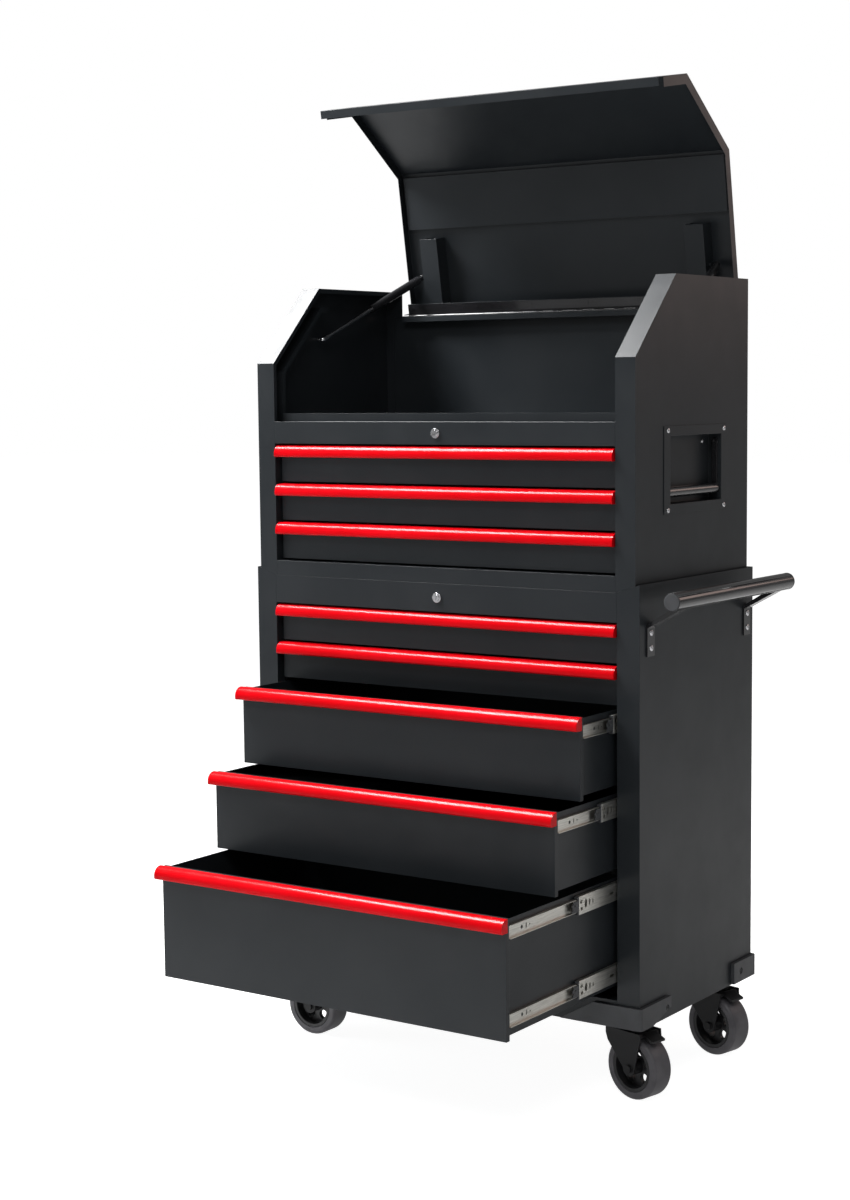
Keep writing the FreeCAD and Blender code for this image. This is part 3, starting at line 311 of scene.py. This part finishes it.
# %% [markdown]
# Zinc plate on rolled steel is a warm pale grey with streaks along the rolling direction. Noise
# stretched along the slide gives those streaks, in colour, roughness and a trace of bump. Screw
# steel and chrome are the same idea with no direction to it and less pattern left.

# %% Plated metals
def plated(name, dark, light, rough_low, rough_high, stretch, bump):
    finish = Finish(name, metallic=1.0)
    streaks = finish.noise(60.0, 4.0, finish.stretched(stretch))
    finish.colour_from(streaks, dark, light)
    finish.roughness_from(streaks, rough_low, rough_high)
    finish.bump_from(streaks, bump, 0.0001)
    return finish.material


ALONG_SLIDE = (6, 0.35, 6)
EVEN = (4, 4, 4)
zinc = plated("zinc plated steel", (0.55, 0.54, 0.50), (0.74, 0.73, 0.68), 0.30, 0.42,
              ALONG_SLIDE, bump=0.15)
chrome = plated("polished chrome", (0.74, 0.74, 0.76), (0.84, 0.84, 0.86), 0.08, 0.14,
                EVEN, bump=0.04)
screw_steel = plated("bright screw steel", (0.62, 0.62, 0.64), (0.78, 0.78, 0.80), 0.16, 0.28,
                     EVEN, bump=0.08)

# %% [markdown]
# Moulded black plastic and tyre tread run from satin to matt. The bumpers carry a fine grain from
# the mould, the tread is greyer and a little coarser, and the hubs are the smoothest. The casters'
# pressings are sprayed, like the chest's own sheet.

# %% Moulded plastics and tread
def moulded(name, dark, light, rough_low, rough_high, grain, bump):
    finish = Finish(name)
    finish.colour_from(finish.noise(30.0, 4.0), dark, light)
    finish.roughness_from(finish.noise(60.0, 4.0), rough_low, rough_high)
    finish.bump_from(finish.noise(grain, 3.0), bump, 0.0003)
    return finish.material


bumper_black = moulded("moulded bumper black", (0.038, 0.040, 0.044), (0.052, 0.055, 0.060),
                       0.42, 0.56, grain=1200, bump=0.2)
hub_black = moulded("wheel hub black", (0.012, 0.012, 0.013), (0.020, 0.020, 0.022),
                    0.3, 0.42, grain=500, bump=0.08)
tread_grey = moulded("tread grey black", (0.075, 0.072, 0.080), (0.12, 0.115, 0.125),
                     0.36, 0.55, grain=700, bump=0.12)
caster_black = powder_coat("satin black steel",
                           (0.010, 0.010, 0.011), (0.016, 0.016, 0.017), 0.3, 0.4)

# %% [markdown]
# The floor is a wide pale sheet that glows, the way a lit white table does. It is nearly white to
# the camera, and gives the chest only about a third of that light.

# %% Studio floor finish
FLOOR_GLOW = 0.94
FLOOR_SPILL = 0.3
floor_finish = moulded("pale studio floor", (0.44, 0.44, 0.44), (0.46, 0.46, 0.46),
                       0.8, 0.9, grain=60, bump=0.02)
floor_shader = floor_finish.node_tree.nodes["Principled BSDF"]
floor_shader.inputs["Emission Color"].default_value = (1.0, 1.0, 1.0, 1.0)
floor_tree = floor_finish.node_tree
floor_seen = floor_tree.nodes.new("ShaderNodeLightPath")
floor_glow = floor_tree.nodes.new("ShaderNodeMapRange")
floor_glow.inputs["To Min"].default_value = FLOOR_SPILL
floor_glow.inputs["To Max"].default_value = FLOOR_GLOW
floor_tree.links.new(floor_seen.outputs["Is Camera Ray"], floor_glow.inputs["Value"])
floor_tree.links.new(floor_glow.outputs["Result"], floor_shader.inputs["Emission Strength"])
floor_mesh.materials.append(floor_finish)
print("finishes", len(bpy.data.materials))

# %% [markdown]
# Real sheet steel has no knife edges. A fold has a bend radius of about the sheet's own thickness
# or a little more, while a cut edge is only broken. `softened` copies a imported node, merges its
# loose triangles into clean faces, then weights each sharp edge: a fold, where both neighbouring
# faces are wide, gets the full bend radius, and a cut edge gets a hair's breadth. The Bevel modifier
# reads the weights, and weighted normals keep the flats flat. The copy stands for the node and rides
# with it.

# %% Helpers for folded sheet
BEND = 1.6
BROKEN_EDGE = 0.35
BEND_STEPS = 3
WIDE = 2.6
SHARP = math.radians(28)
FLAT = math.radians(0.6)
SMOOTH_BELOW = math.radians(40)
FLAT_WEIGHT = 80
MERGE_REACH = 2e-6


def new_piece(name, mesh):
    piece = bpy.data.objects.new(name, mesh)
    scene.collection.objects.link(piece)
    return piece


def apply_modifiers(piece):
    """Bakes the live modifiers into a plain mesh."""
    depsgraph = bpy.context.evaluated_depsgraph_get()
    mesh = bpy.data.meshes.new_from_object(piece.evaluated_get(depsgraph))
    piece.modifiers.clear()
    old = piece.data
    piece.data = mesh
    bpy.data.meshes.remove(old)
    mesh.name = piece.name
    return piece


def face_width(face, edge):
    """How far a face reaches from one of its edges, in millimetres."""
    start, end = edge.verts[0].co, edge.verts[1].co
    along = (end - start).normalized()
    reach = 0.0
    for vert in face.verts:
        offset = vert.co - start
        reach = max(reach, (offset - along * offset.dot(along)).length)
    return reach / MM


def clean_form(node, keep=None):
    """The node's mesh with its triangles merged; keep picks which separate solids stay."""
    form = bmesh.new()
    form.from_mesh(frame["nodes"][node].data)
    bmesh.ops.remove_doubles(form, verts=form.verts, dist=MERGE_REACH)
    if keep is not None:
        drop_islands(form, keep)
    bmesh.ops.dissolve_limit(form, angle_limit=FLAT, verts=form.verts, edges=form.edges)
    return form


def islands(form):
    """The separate solids in a mesh, as lists of vertices."""
    form.verts.ensure_lookup_table()
    seen = set()
    found = []
    for first in form.verts:
        if first.index in seen:
            continue
        seen.add(first.index)
        stack, members = [first], []
        while stack:
            vert = stack.pop()
            members.append(vert)
            for edge in vert.link_edges:
                other = edge.other_vert(vert)
                if other.index not in seen:
                    seen.add(other.index)
                    stack.append(other)
        found.append(members)
    return found


def corners(members):
    """The lowest and highest corner of the box round some vertices."""
    low = Vector([min(v.co[i] for v in members) for i in range(3)])
    high = Vector([max(v.co[i] for v in members) for i in range(3)])
    return low, high


def drop_islands(form, keep):
    """Takes away the separate solids that keep doesn't pick."""
    form.verts.index_update()
    dropped = []
    for members in islands(form):
        if not keep(*corners(members)):
            dropped += members
    bmesh.ops.delete(form, geom=dropped, context="VERTS")


def solid_boxes(node, keep):
    """The boxes round the separate solids of a node that keep picks."""
    form = clean_form(node, keep)
    form.verts.index_update()
    boxes = [corners(members) for members in islands(form)]
    form.free()
    return boxes


def weight_edges(form, fold, cut):
    """Weights the sharp edges, and says how wide the weight of one is, in millimetres."""
    layer = form.edges.layers.float.new("bevel_weight_edge")
    widest = max(fold, cut)
    for edge in form.edges:
        if len(edge.link_faces) != 2 or edge.calc_face_angle(0.0) < SHARP:
            continue
        narrow = min(face_width(face, edge) for face in edge.link_faces)
        width = fold if narrow > WIDE else cut
        edge[layer] = width / widest
    return widest


def softened(name, node, material, fold=BEND, cut=BROKEN_EDGE, keep=None, punch=None):
    """The piece that stands for a node: edges rounded, holes punched, finish on."""
    form = clean_form(node, keep)
    assert form.faces, name + " keeps no solid"
    widest = weight_edges(form, fold, cut)
    mesh = bpy.data.meshes.new(name)
    form.to_mesh(mesh)
    form.free()
    piece = new_piece(name, mesh)
    bevel = piece.modifiers.new("bend radius", "BEVEL")
    bevel.limit_method = "WEIGHT"
    bevel.width = widest * MM
    bevel.segments = BEND_STEPS
    bevel.use_clamp_overlap = True
    if punch is not None:
        holes = piece.modifiers.new("punched holes", "BOOLEAN")
        holes.operation = "DIFFERENCE"
        holes.solver = "EXACT"
        holes.object = punch
    apply_modifiers(piece)
    if punch is not None:
        bpy.data.objects.remove(punch)
    smooth_flats(piece)
    finish_piece(piece, node, material)


def smooth_flats(piece):
    """Shades round edges smooth and flat faces flat."""
    piece.data.polygons.foreach_set("use_smooth", [True] * len(piece.data.polygons))
    piece.data.set_sharp_from_angle(angle=SMOOTH_BELOW)
    weighted = piece.modifiers.new("flat faces stay flat", "WEIGHTED_NORMAL")
    weighted.keep_sharp = True
    weighted.weight = FLAT_WEIGHT
    apply_modifiers(piece)


def body_of(node):
    return frame["nodes"][node]["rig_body"]


def finish_piece(piece, node, material):
    """Gives a piece its finish, and ties it to the node it stands for."""
    piece.data.materials.clear()
    piece.data.materials.append(material)
    piece.data.polygons.foreach_set("material_index", [0] * len(piece.data.polygons))
    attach(piece, body_of(node))
    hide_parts(node)
    print(piece.name, len(piece.data.polygons), "faces")


# %% [markdown]
# Screws, and the holes a press punches through a slide, are one job done many times: set a form on
# every marked place, turned the right way, at the right size. A Geometry Nodes tree does it. Its
# points carry two attributes, `facing` and `size`; the form and the finish are named inputs. The
# instances are made real at the end, so that what is left is a plain mesh.

# %% A tree that stamps one form on many places
def named_vector(tree, name):
    node = tree.nodes.new("GeometryNodeInputNamedAttribute")
    node.data_type = "FLOAT_VECTOR"
    node.inputs["Name"].default_value = name
    return node.outputs["Attribute"]


def stamp_tree():
    tree = bpy.data.node_groups.new("stamp a form", "GeometryNodeTree")
    for name, kind in (("Places", "Geometry"), ("Form", "Object"), ("Finish", "Material")):
        tree.interface.new_socket(name, in_out="INPUT", socket_type="NodeSocket" + kind)
    tree.interface.new_socket("Stamped", in_out="OUTPUT", socket_type="NodeSocketGeometry")
    given = tree.nodes.new("NodeGroupInput").outputs
    result = tree.nodes.new("NodeGroupOutput")
    form = tree.nodes.new("GeometryNodeObjectInfo")
    turn = tree.nodes.new("FunctionNodeAlignRotationToVector")
    turn.axis = "Z"
    stamp = tree.nodes.new("GeometryNodeInstanceOnPoints")
    real = tree.nodes.new("GeometryNodeRealizeInstances")
    paint = tree.nodes.new("GeometryNodeSetMaterial")
    link = tree.links.new
    link(given["Form"], form.inputs["Object"])
    link(named_vector(tree, "facing"), turn.inputs["Vector"])
    link(given["Places"], stamp.inputs["Points"])
    link(form.outputs["Geometry"], stamp.inputs["Instance"])
    link(turn.outputs["Rotation"], stamp.inputs["Rotation"])
    link(named_vector(tree, "size"), stamp.inputs["Scale"])
    link(stamp.outputs["Instances"], real.inputs["Geometry"])
    link(real.outputs["Geometry"], paint.inputs["Geometry"])
    link(given["Finish"], paint.inputs["Material"])
    link(paint.outputs["Geometry"], result.inputs["Stamped"])
    return tree


STAMP = stamp_tree()
STAMP_INPUTS = {s.name: s.identifier for s in STAMP.interface.items_tree if s.in_out == "INPUT"}


def stamped(name, form, marks, material):
    """One mesh with a form at every mark; a mark is a place, the way it faces and its size."""
    mesh = bpy.data.meshes.new(name)
    mesh.from_pydata([place for place, facing, size in marks], [], [])
    facings = mesh.attributes.new("facing", "FLOAT_VECTOR", "POINT")
    sizes = mesh.attributes.new("size", "FLOAT_VECTOR", "POINT")
    for n, (place, facing, size) in enumerate(marks):
        facings.data[n].vector = facing
        sizes.data[n].vector = size
    piece = new_piece(name, mesh)
    stamping = piece.modifiers.new("stamping", "NODES")
    stamping.node_group = STAMP
    stamping[STAMP_INPUTS["Form"]] = form
    stamping[STAMP_INPUTS["Finish"]] = material
    return apply_modifiers(piece)


print("stamp tree", len(STAMP.nodes), "nodes")

# %% [markdown]
# Two forms come first. The punch is a plain round bar, stretched to an oval where the hole is a
# slot. The screw is a pan head with a domed top and a cross driven into it, turned here at a radius
# of one.

# %% The punch and the pan-head screw
PAN_PROFILE = ((1.0, 0.0), (1.0, 0.35), (0.93, 0.62), (0.74, 0.86), (0.42, 0.98), (0.15, 1.0))
CROSS_REACH = 0.56
CROSS_HALF = 0.12
CROSS_FLOOR = 0.5


def turned(name, profile, steps):
    """A solid turned on a lathe; the profile runs up, as (radius, height)."""
    form = bmesh.new()
    angles = [math.tau * n / steps for n in range(steps)]
    spokes = [(math.cos(angle), math.sin(angle)) for angle in angles]
    rings = [[form.verts.new((r * c, r * s, z)) for c, s in spokes] for r, z in profile]
    for lower, upper in zip(rings, rings[1:]):
        for n in range(steps):
            after = (n + 1) % steps
            form.faces.new((lower[n], lower[after], upper[after], upper[n]))
    form.faces.new(rings[0][::-1])
    form.faces.new(rings[-1])
    mesh = bpy.data.meshes.new(name)
    form.to_mesh(mesh)
    form.free()
    return new_piece(name, mesh)


def cross_bit():
    """The plus-shaped bit that drives the recess."""
    quarter = ((CROSS_REACH, -CROSS_HALF), (CROSS_REACH, CROSS_HALF), (CROSS_HALF, CROSS_HALF))
    plus = []
    for n in range(4):
        turn_by = Matrix.Rotation(n * math.pi / 2, 3, "Z")
        plus += [turn_by @ Vector((x, y, CROSS_FLOOR)) for x, y in quarter]
    form = bmesh.new()
    base = form.faces.new([form.verts.new(v) for v in plus])
    grown = bmesh.ops.extrude_face_region(form, geom=[base])
    tops = [v for v in grown["geom"] if isinstance(v, bmesh.types.BMVert)]
    bmesh.ops.translate(form, verts=tops, vec=(0, 0, 1))
    bmesh.ops.recalc_face_normals(form, faces=form.faces)
    mesh = bpy.data.meshes.new("cross_bit")
    form.to_mesh(mesh)
    form.free()
    return new_piece("cross_bit", mesh)


punch_form = turned("punch_form", ((1.0, -0.5), (1.0, 0.5)), steps=20)
screw_form = turned("screw_form", PAN_PROFILE, steps=20)
bit = cross_bit()
recess = screw_form.modifiers.new("cross recess", "BOOLEAN")
recess.operation = "DIFFERENCE"
recess.solver = "EXACT"
recess.object = bit
apply_modifiers(screw_form)
bpy.data.objects.remove(bit)
print("screw head", len(screw_form.data.polygons), "faces")

# %% [markdown]
# The shells of both boxes come first: side panels with their folded posts, backs, floors, decks and
# rails. They are all one gauge of sheet, so one call each is enough.

# %% Cabinet and chest shells
for node in ("cabinet_side_panels", "cabinet_back_panel", "cabinet_top_deck", "cabinet_base_pan",
             "chest_side_panels", "chest_back_panel", "chest_till_floor", "chest_top_rail",
             "chest_base_pan"):
    softened(node + "_sheet", node, charcoal)

# %% [markdown]
# Inside, eight uprights carry the slides. They stay dark; the case members screwed to them are
# zinc. A slide is rolled from thin strip, so its bends are much tighter than those of a panel.

# %% Uprights and slide case members
SLIDE_BEND = 0.9
softened("slide_upright_channels", "slide_uprights", inner_black)
softened("slide_case_channels", "slide_case_members", zinc, fold=SLIDE_BEND)

# %% [markdown]
# Each drawer is a folded tub welded to a double-skinned front. Its own slide members are screwed to
# the sides and are bare zinc, so the node is taken apart by size: a slide member is a solid less
# than twenty millimetres across, and the rest is the painted tub.
#
# The web of a slide member is punched for its screws: a half-round notch at the front end, a round
# hole, an upright slot and a small hole after it, and a second group further back.

# %% Drawers
DRAWERS = [name for name in frame["bodies"] if "_drawer_" in name and not name.endswith("_mids")]
SLIDE_WIDEST = 20 * MM


def is_tub(low, high):
    return high.x - low.x > SLIDE_WIDEST


def is_slide(low, high):
    return not is_tub(low, high)


# Each hole: how far behind the front end, how far above the middle, half its length and height.
INNER_HOLES = ((0, 0, 3.2, 5.5), (46, 0, 3.6, 3.6), (61, 0, 1.7, 5.6), (73, 0, 1.8, 1.8),
               (262, 0, 2.4, 1.8), (279, 0, 4.2, 3.4), (294, 0, 2.4, 1.8))
PUNCH_LENGTH = 14.0


def punched(node, keep, holes):
    """The punches for one pattern of holes, set against every strip of the node that keep picks."""
    marks = []
    for low, high in solid_boxes(node, keep):
        centre = (low + high) / 2
        facing = (math.copysign(1, centre.x - DATUM.x), 0, 0)
        for back, up, half_length, half_height in holes:
            place = (centre.x, low.y + back * MM, centre.z + up * MM)
            marks.append((place, facing, (half_height * MM, half_length * MM, PUNCH_LENGTH * MM)))
    return stamped("punches", punch_form, marks, zinc)


for drawer in DRAWERS:
    node = drawer + "_box"
    softened(drawer + "_tub", node, charcoal, keep=is_tub)
    softened(drawer + "_slide_members", node, zinc, fold=SLIDE_BEND, keep=is_slide,
             punch=punched(node, is_slide, INNER_HOLES))
    softened(drawer + "_pull_rail", drawer + "_handle", rail_red, fold=0.8, cut=0.4)

# %% [markdown]
# The middle slide members carry a black plastic lever at the front end: press it and the drawer
# comes right out. It is the short solid of the node, and its front edge is scalloped for a finger.
# The member behind it is punched with large openings where the balls are fed in. Both patterns are
# written like the drawer's own.

# %% Middle slide members
STOP_LONGEST = 40 * MM


def is_stop(low, high):
    return high.y - low.y < STOP_LONGEST


def is_member(low, high):
    return not is_stop(low, high)


MID_HOLES = ((7, 7, 5, 3.6), (9, -7, 3.6, 3.6), (24, 1, 4.2, 8.5), (38, 0, 2.6, 6.5),
             (50, 0, 2.2, 4), (120, 0, 9, 2.4), (205, 0, 4, 4), (300, 0, 9, 2.4))
LEVER_SCALLOPS = ((0, 9.5, 5, 4.5), (0, -3.5, 3, 2.5), (9, 3.0, 2.2, 2.2))

for drawer in DRAWERS:
    node = drawer + "_slide_mids"
    softened(drawer + "_mid_members", node, zinc, fold=SLIDE_BEND, keep=is_member,
             punch=punched(node, is_member, MID_HOLES))
    softened(drawer + "_slide_levers", node, bumper_black, fold=0.6, cut=0.3, keep=is_stop,
             punch=punched(node, is_stop, LEVER_SCALLOPS))

# %% [markdown]
# The lid is one sheet folded three times, with flanged ends. A long strip hinge joins it to the
# back: both leaves are gloss black, held by a row of flat rivets, and only their edges are broken.

# %% Lid
softened("lid_sheet", "lid_shell", charcoal)
softened("lid_bracket_channels", "lid_brackets", charcoal)
softened("hinge_leaf_lid", "hinge_lid_leaf", gloss_black, fold=0.3, cut=0.2)
softened("hinge_leaf_body", "hinge_body_leaf", gloss_black, fold=0.3, cut=0.2)

# %% [markdown]
# Each gas strut is a bright ground rod that slides into a black painted tube. The rod is hard
# chrome plate, the smoothest surface on the whole chest.

# %% Gas struts
for side in ("right", "left"):
    softened("strut_rod_bright_" + side, "strut_rod_" + side, chrome, fold=0.4, cut=0.3)
    softened("strut_tube_black_" + side, "strut_cylinder_" + side, gloss_black, fold=0.6, cut=0.3)

# %% [markdown]
# The side handles are pressed pans with a round bail, and the push handle is a steel tube on its
# brackets. The bumpers are thick soft mouldings with generous round edges.

# %% Handles and bumpers
softened("side_handle_pan_pressings", "side_handle_pans", charcoal)
for side in ("right", "left"):
    softened("bail_" + side, "side_bail_" + side, gloss_black, fold=0.8, cut=0.4)
softened("push_handle_tube", "push_handle", gloss_black, fold=0.8, cut=0.4)
softened("corner_bumper_mouldings", "corner_bumpers", bumper_black, fold=3.0, cut=1.0)

# %% [markdown]
# The plugs of the push handle are turned forms with a flat dome, set over both ends of the tube and
# a hair wider than it. The tube is the topmost and outermost part of the handle, so its axis lies
# one radius inside the box.

# %% Push handle plugs
TUBE_RADIUS = 17
PLUG_RADIUS = 17.2
PLUG_HEIGHT = 2.4
PLUG_OVERLAP = 2
PLUG_PROFILE = ((1.0, 0.0), (1.0, 0.45), (0.95, 0.8), (0.82, 1.0))
plug_form = turned("plug_form", PLUG_PROFILE, steps=32)
handle_low, handle_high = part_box("push_handle")
plug_marks = []
for end, way in ((handle_low.y, -1), (handle_high.y, 1)):
    place = (handle_high.x - TUBE_RADIUS * MM, end - way * PLUG_OVERLAP * MM,
             handle_high.z - TUBE_RADIUS * MM)
    plug_marks.append((place, (0, way, 0), (PLUG_RADIUS * MM, PLUG_RADIUS * MM, PLUG_HEIGHT * MM)))
plugs = stamped("push_handle_end_plugs", plug_form, plug_marks, bumper_black)
smooth_flats(plugs)
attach(plugs, body_of("push_handle"))
print("plugs", len(plugs.data.polygons), "faces")

# %% [markdown]
# The casters are the hard-working end. Two of them swivel and have a brake pedal, two are fixed.
# Every wheel is a grey-black tyre moulded round a black hub with half-moon openings. In the packed
# wheel the tyre is the taller solid.

# %% Casters and wheels
TYRE_LEAST = 110 * MM


def is_tyre(low, high):
    return high.z - low.z > TYRE_LEAST


def is_hub(low, high):
    return not is_tyre(low, high)


softened("caster_mount_pressings", "caster_mounts", caster_black, fold=1.0, cut=0.4)
for side in ("front", "rear"):
    softened("fork_" + side, "swivel_fork_" + side, caster_black, fold=1.0, cut=0.4)
    softened("pedal_" + side, "brake_pedal_" + side, caster_black, fold=1.0, cut=0.4)
    for kind in ("swivel", "fixed"):
        wheel = kind + "_wheel_" + side
        softened(wheel + "_tyre", wheel, tread_grey, fold=2.2, cut=0.8, keep=is_tyre)
        softened(wheel + "_hub", wheel, hub_black, fold=1.0, cut=0.4, keep=is_hub)

# %% [markdown]
# The two locks have a polished housing round a plug with a keyway. The screws come from the packed
# fasteners: a screw is a solid less than three millimetres thick, and it faces along that short
# way, outwards from the middle of the model. Each is turned into a proper pan head with a cross
# recess, bright on the steel and black in the bumpers.

# %% Locks, studs and screws
SCREW_THICKEST = 3 * MM
LOCK_LEAST = 15 * MM


def is_screw(low, high):
    return min(high - low) < SCREW_THICKEST


def is_lock_housing(low, high):
    return min(high - low) > LOCK_LEAST


def is_stud(low, high):
    return not is_screw(low, high) and not is_lock_housing(low, high)


def screw_marks(pick):
    """Where the picked screws sit, the way each faces, and its radius and height."""
    marks = []
    for low, high in solid_boxes("fasteners", is_screw):
        if not pick(low, high):
            continue
        span = high - low
        axis = list(span).index(min(span))
        centre = (low + high) / 2
        outward = math.copysign(1, centre[axis] - middle[axis])
        facing = [0.0, 0.0, 0.0]
        facing[axis] = outward
        seat = centre - Vector(facing) * span[axis] / 2
        radius = max(span) / 2
        marks.append((seat, facing, (radius, radius, span[axis])))
    return marks


bumper_low, bumper_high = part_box("corner_bumpers")


def in_bumper(low, high):
    return low.z > bumper_low.z and high.z < bumper_high.z


def on_steel(low, high):
    return not in_bumper(low, high)


for chest_part in ("cabinet", "chest"):
    softened(chest_part + "_lock_key_plug", chest_part + "_lock_plug", chrome, fold=0.4, cut=0.3)
softened("lock_housings", "fasteners", chrome, fold=0.8, cut=0.5, keep=is_lock_housing)
softened("strut_ball_studs", "fasteners", screw_steel, fold=0.4, cut=0.3, keep=is_stud)
for name, pick, finish in (("bright_pan_screws", on_steel, screw_steel),
                           ("black_bumper_screws", in_bumper, hub_black)):
    screws = stamped(name, screw_form, screw_marks(pick), finish)
    smooth_flats(screws)
    finish_piece(screws, "fasteners", finish)

# %% [markdown]
# A bright nut closes each end of an axle, on either side of the fork, and rides on what holds the
# wheel. The axle's direction is the joint axis of its wheel, so that the swivelled casters get
# theirs at the right angle.

# %% Axle nuts
NUT_RADIUS = 7.2
NUT_HEIGHT = 4.6
NUT_SEAT = 31.6
NUT_PROFILE = ((0.86, 0.0), (1.0, 0.12), (1.0, 0.84), (0.84, 1.0))
nut_form = turned("nut_form", NUT_PROFILE, steps=6)
JOINTS = {joint["child"]: joint for joint in frame["record"]["behaviour"]["joints"]}


def axle_marks(wheel):
    """A nut on each end of the wheel's axle, facing outwards."""
    low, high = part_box(wheel)
    along = Vector(JOINTS[wheel]["axis"]).normalized()
    marks = []
    for way in (1, -1):
        seat = (low + high) / 2 + along * way * NUT_SEAT * MM
        marks.append((seat, along * way, (NUT_RADIUS * MM, NUT_RADIUS * MM, NUT_HEIGHT * MM)))
    return marks


for side in ("front", "rear"):
    for wheel, body in (("swivel_wheel_" + side, body_of("swivel_fork_" + side)),
                        ("fixed_wheel_" + side, body_of("caster_mounts"))):
        nuts = stamped(wheel + "_axle_nuts", nut_form, axle_marks(wheel), screw_steel)
        smooth_flats(nuts)
        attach(nuts, body)
        print(nuts.name, "on", body)

# %% [markdown]
# The forms have done their work and go.

# %% Close the lesson
for form in (punch_form, screw_form, nut_form, plug_form):
    bpy.data.objects.remove(form)
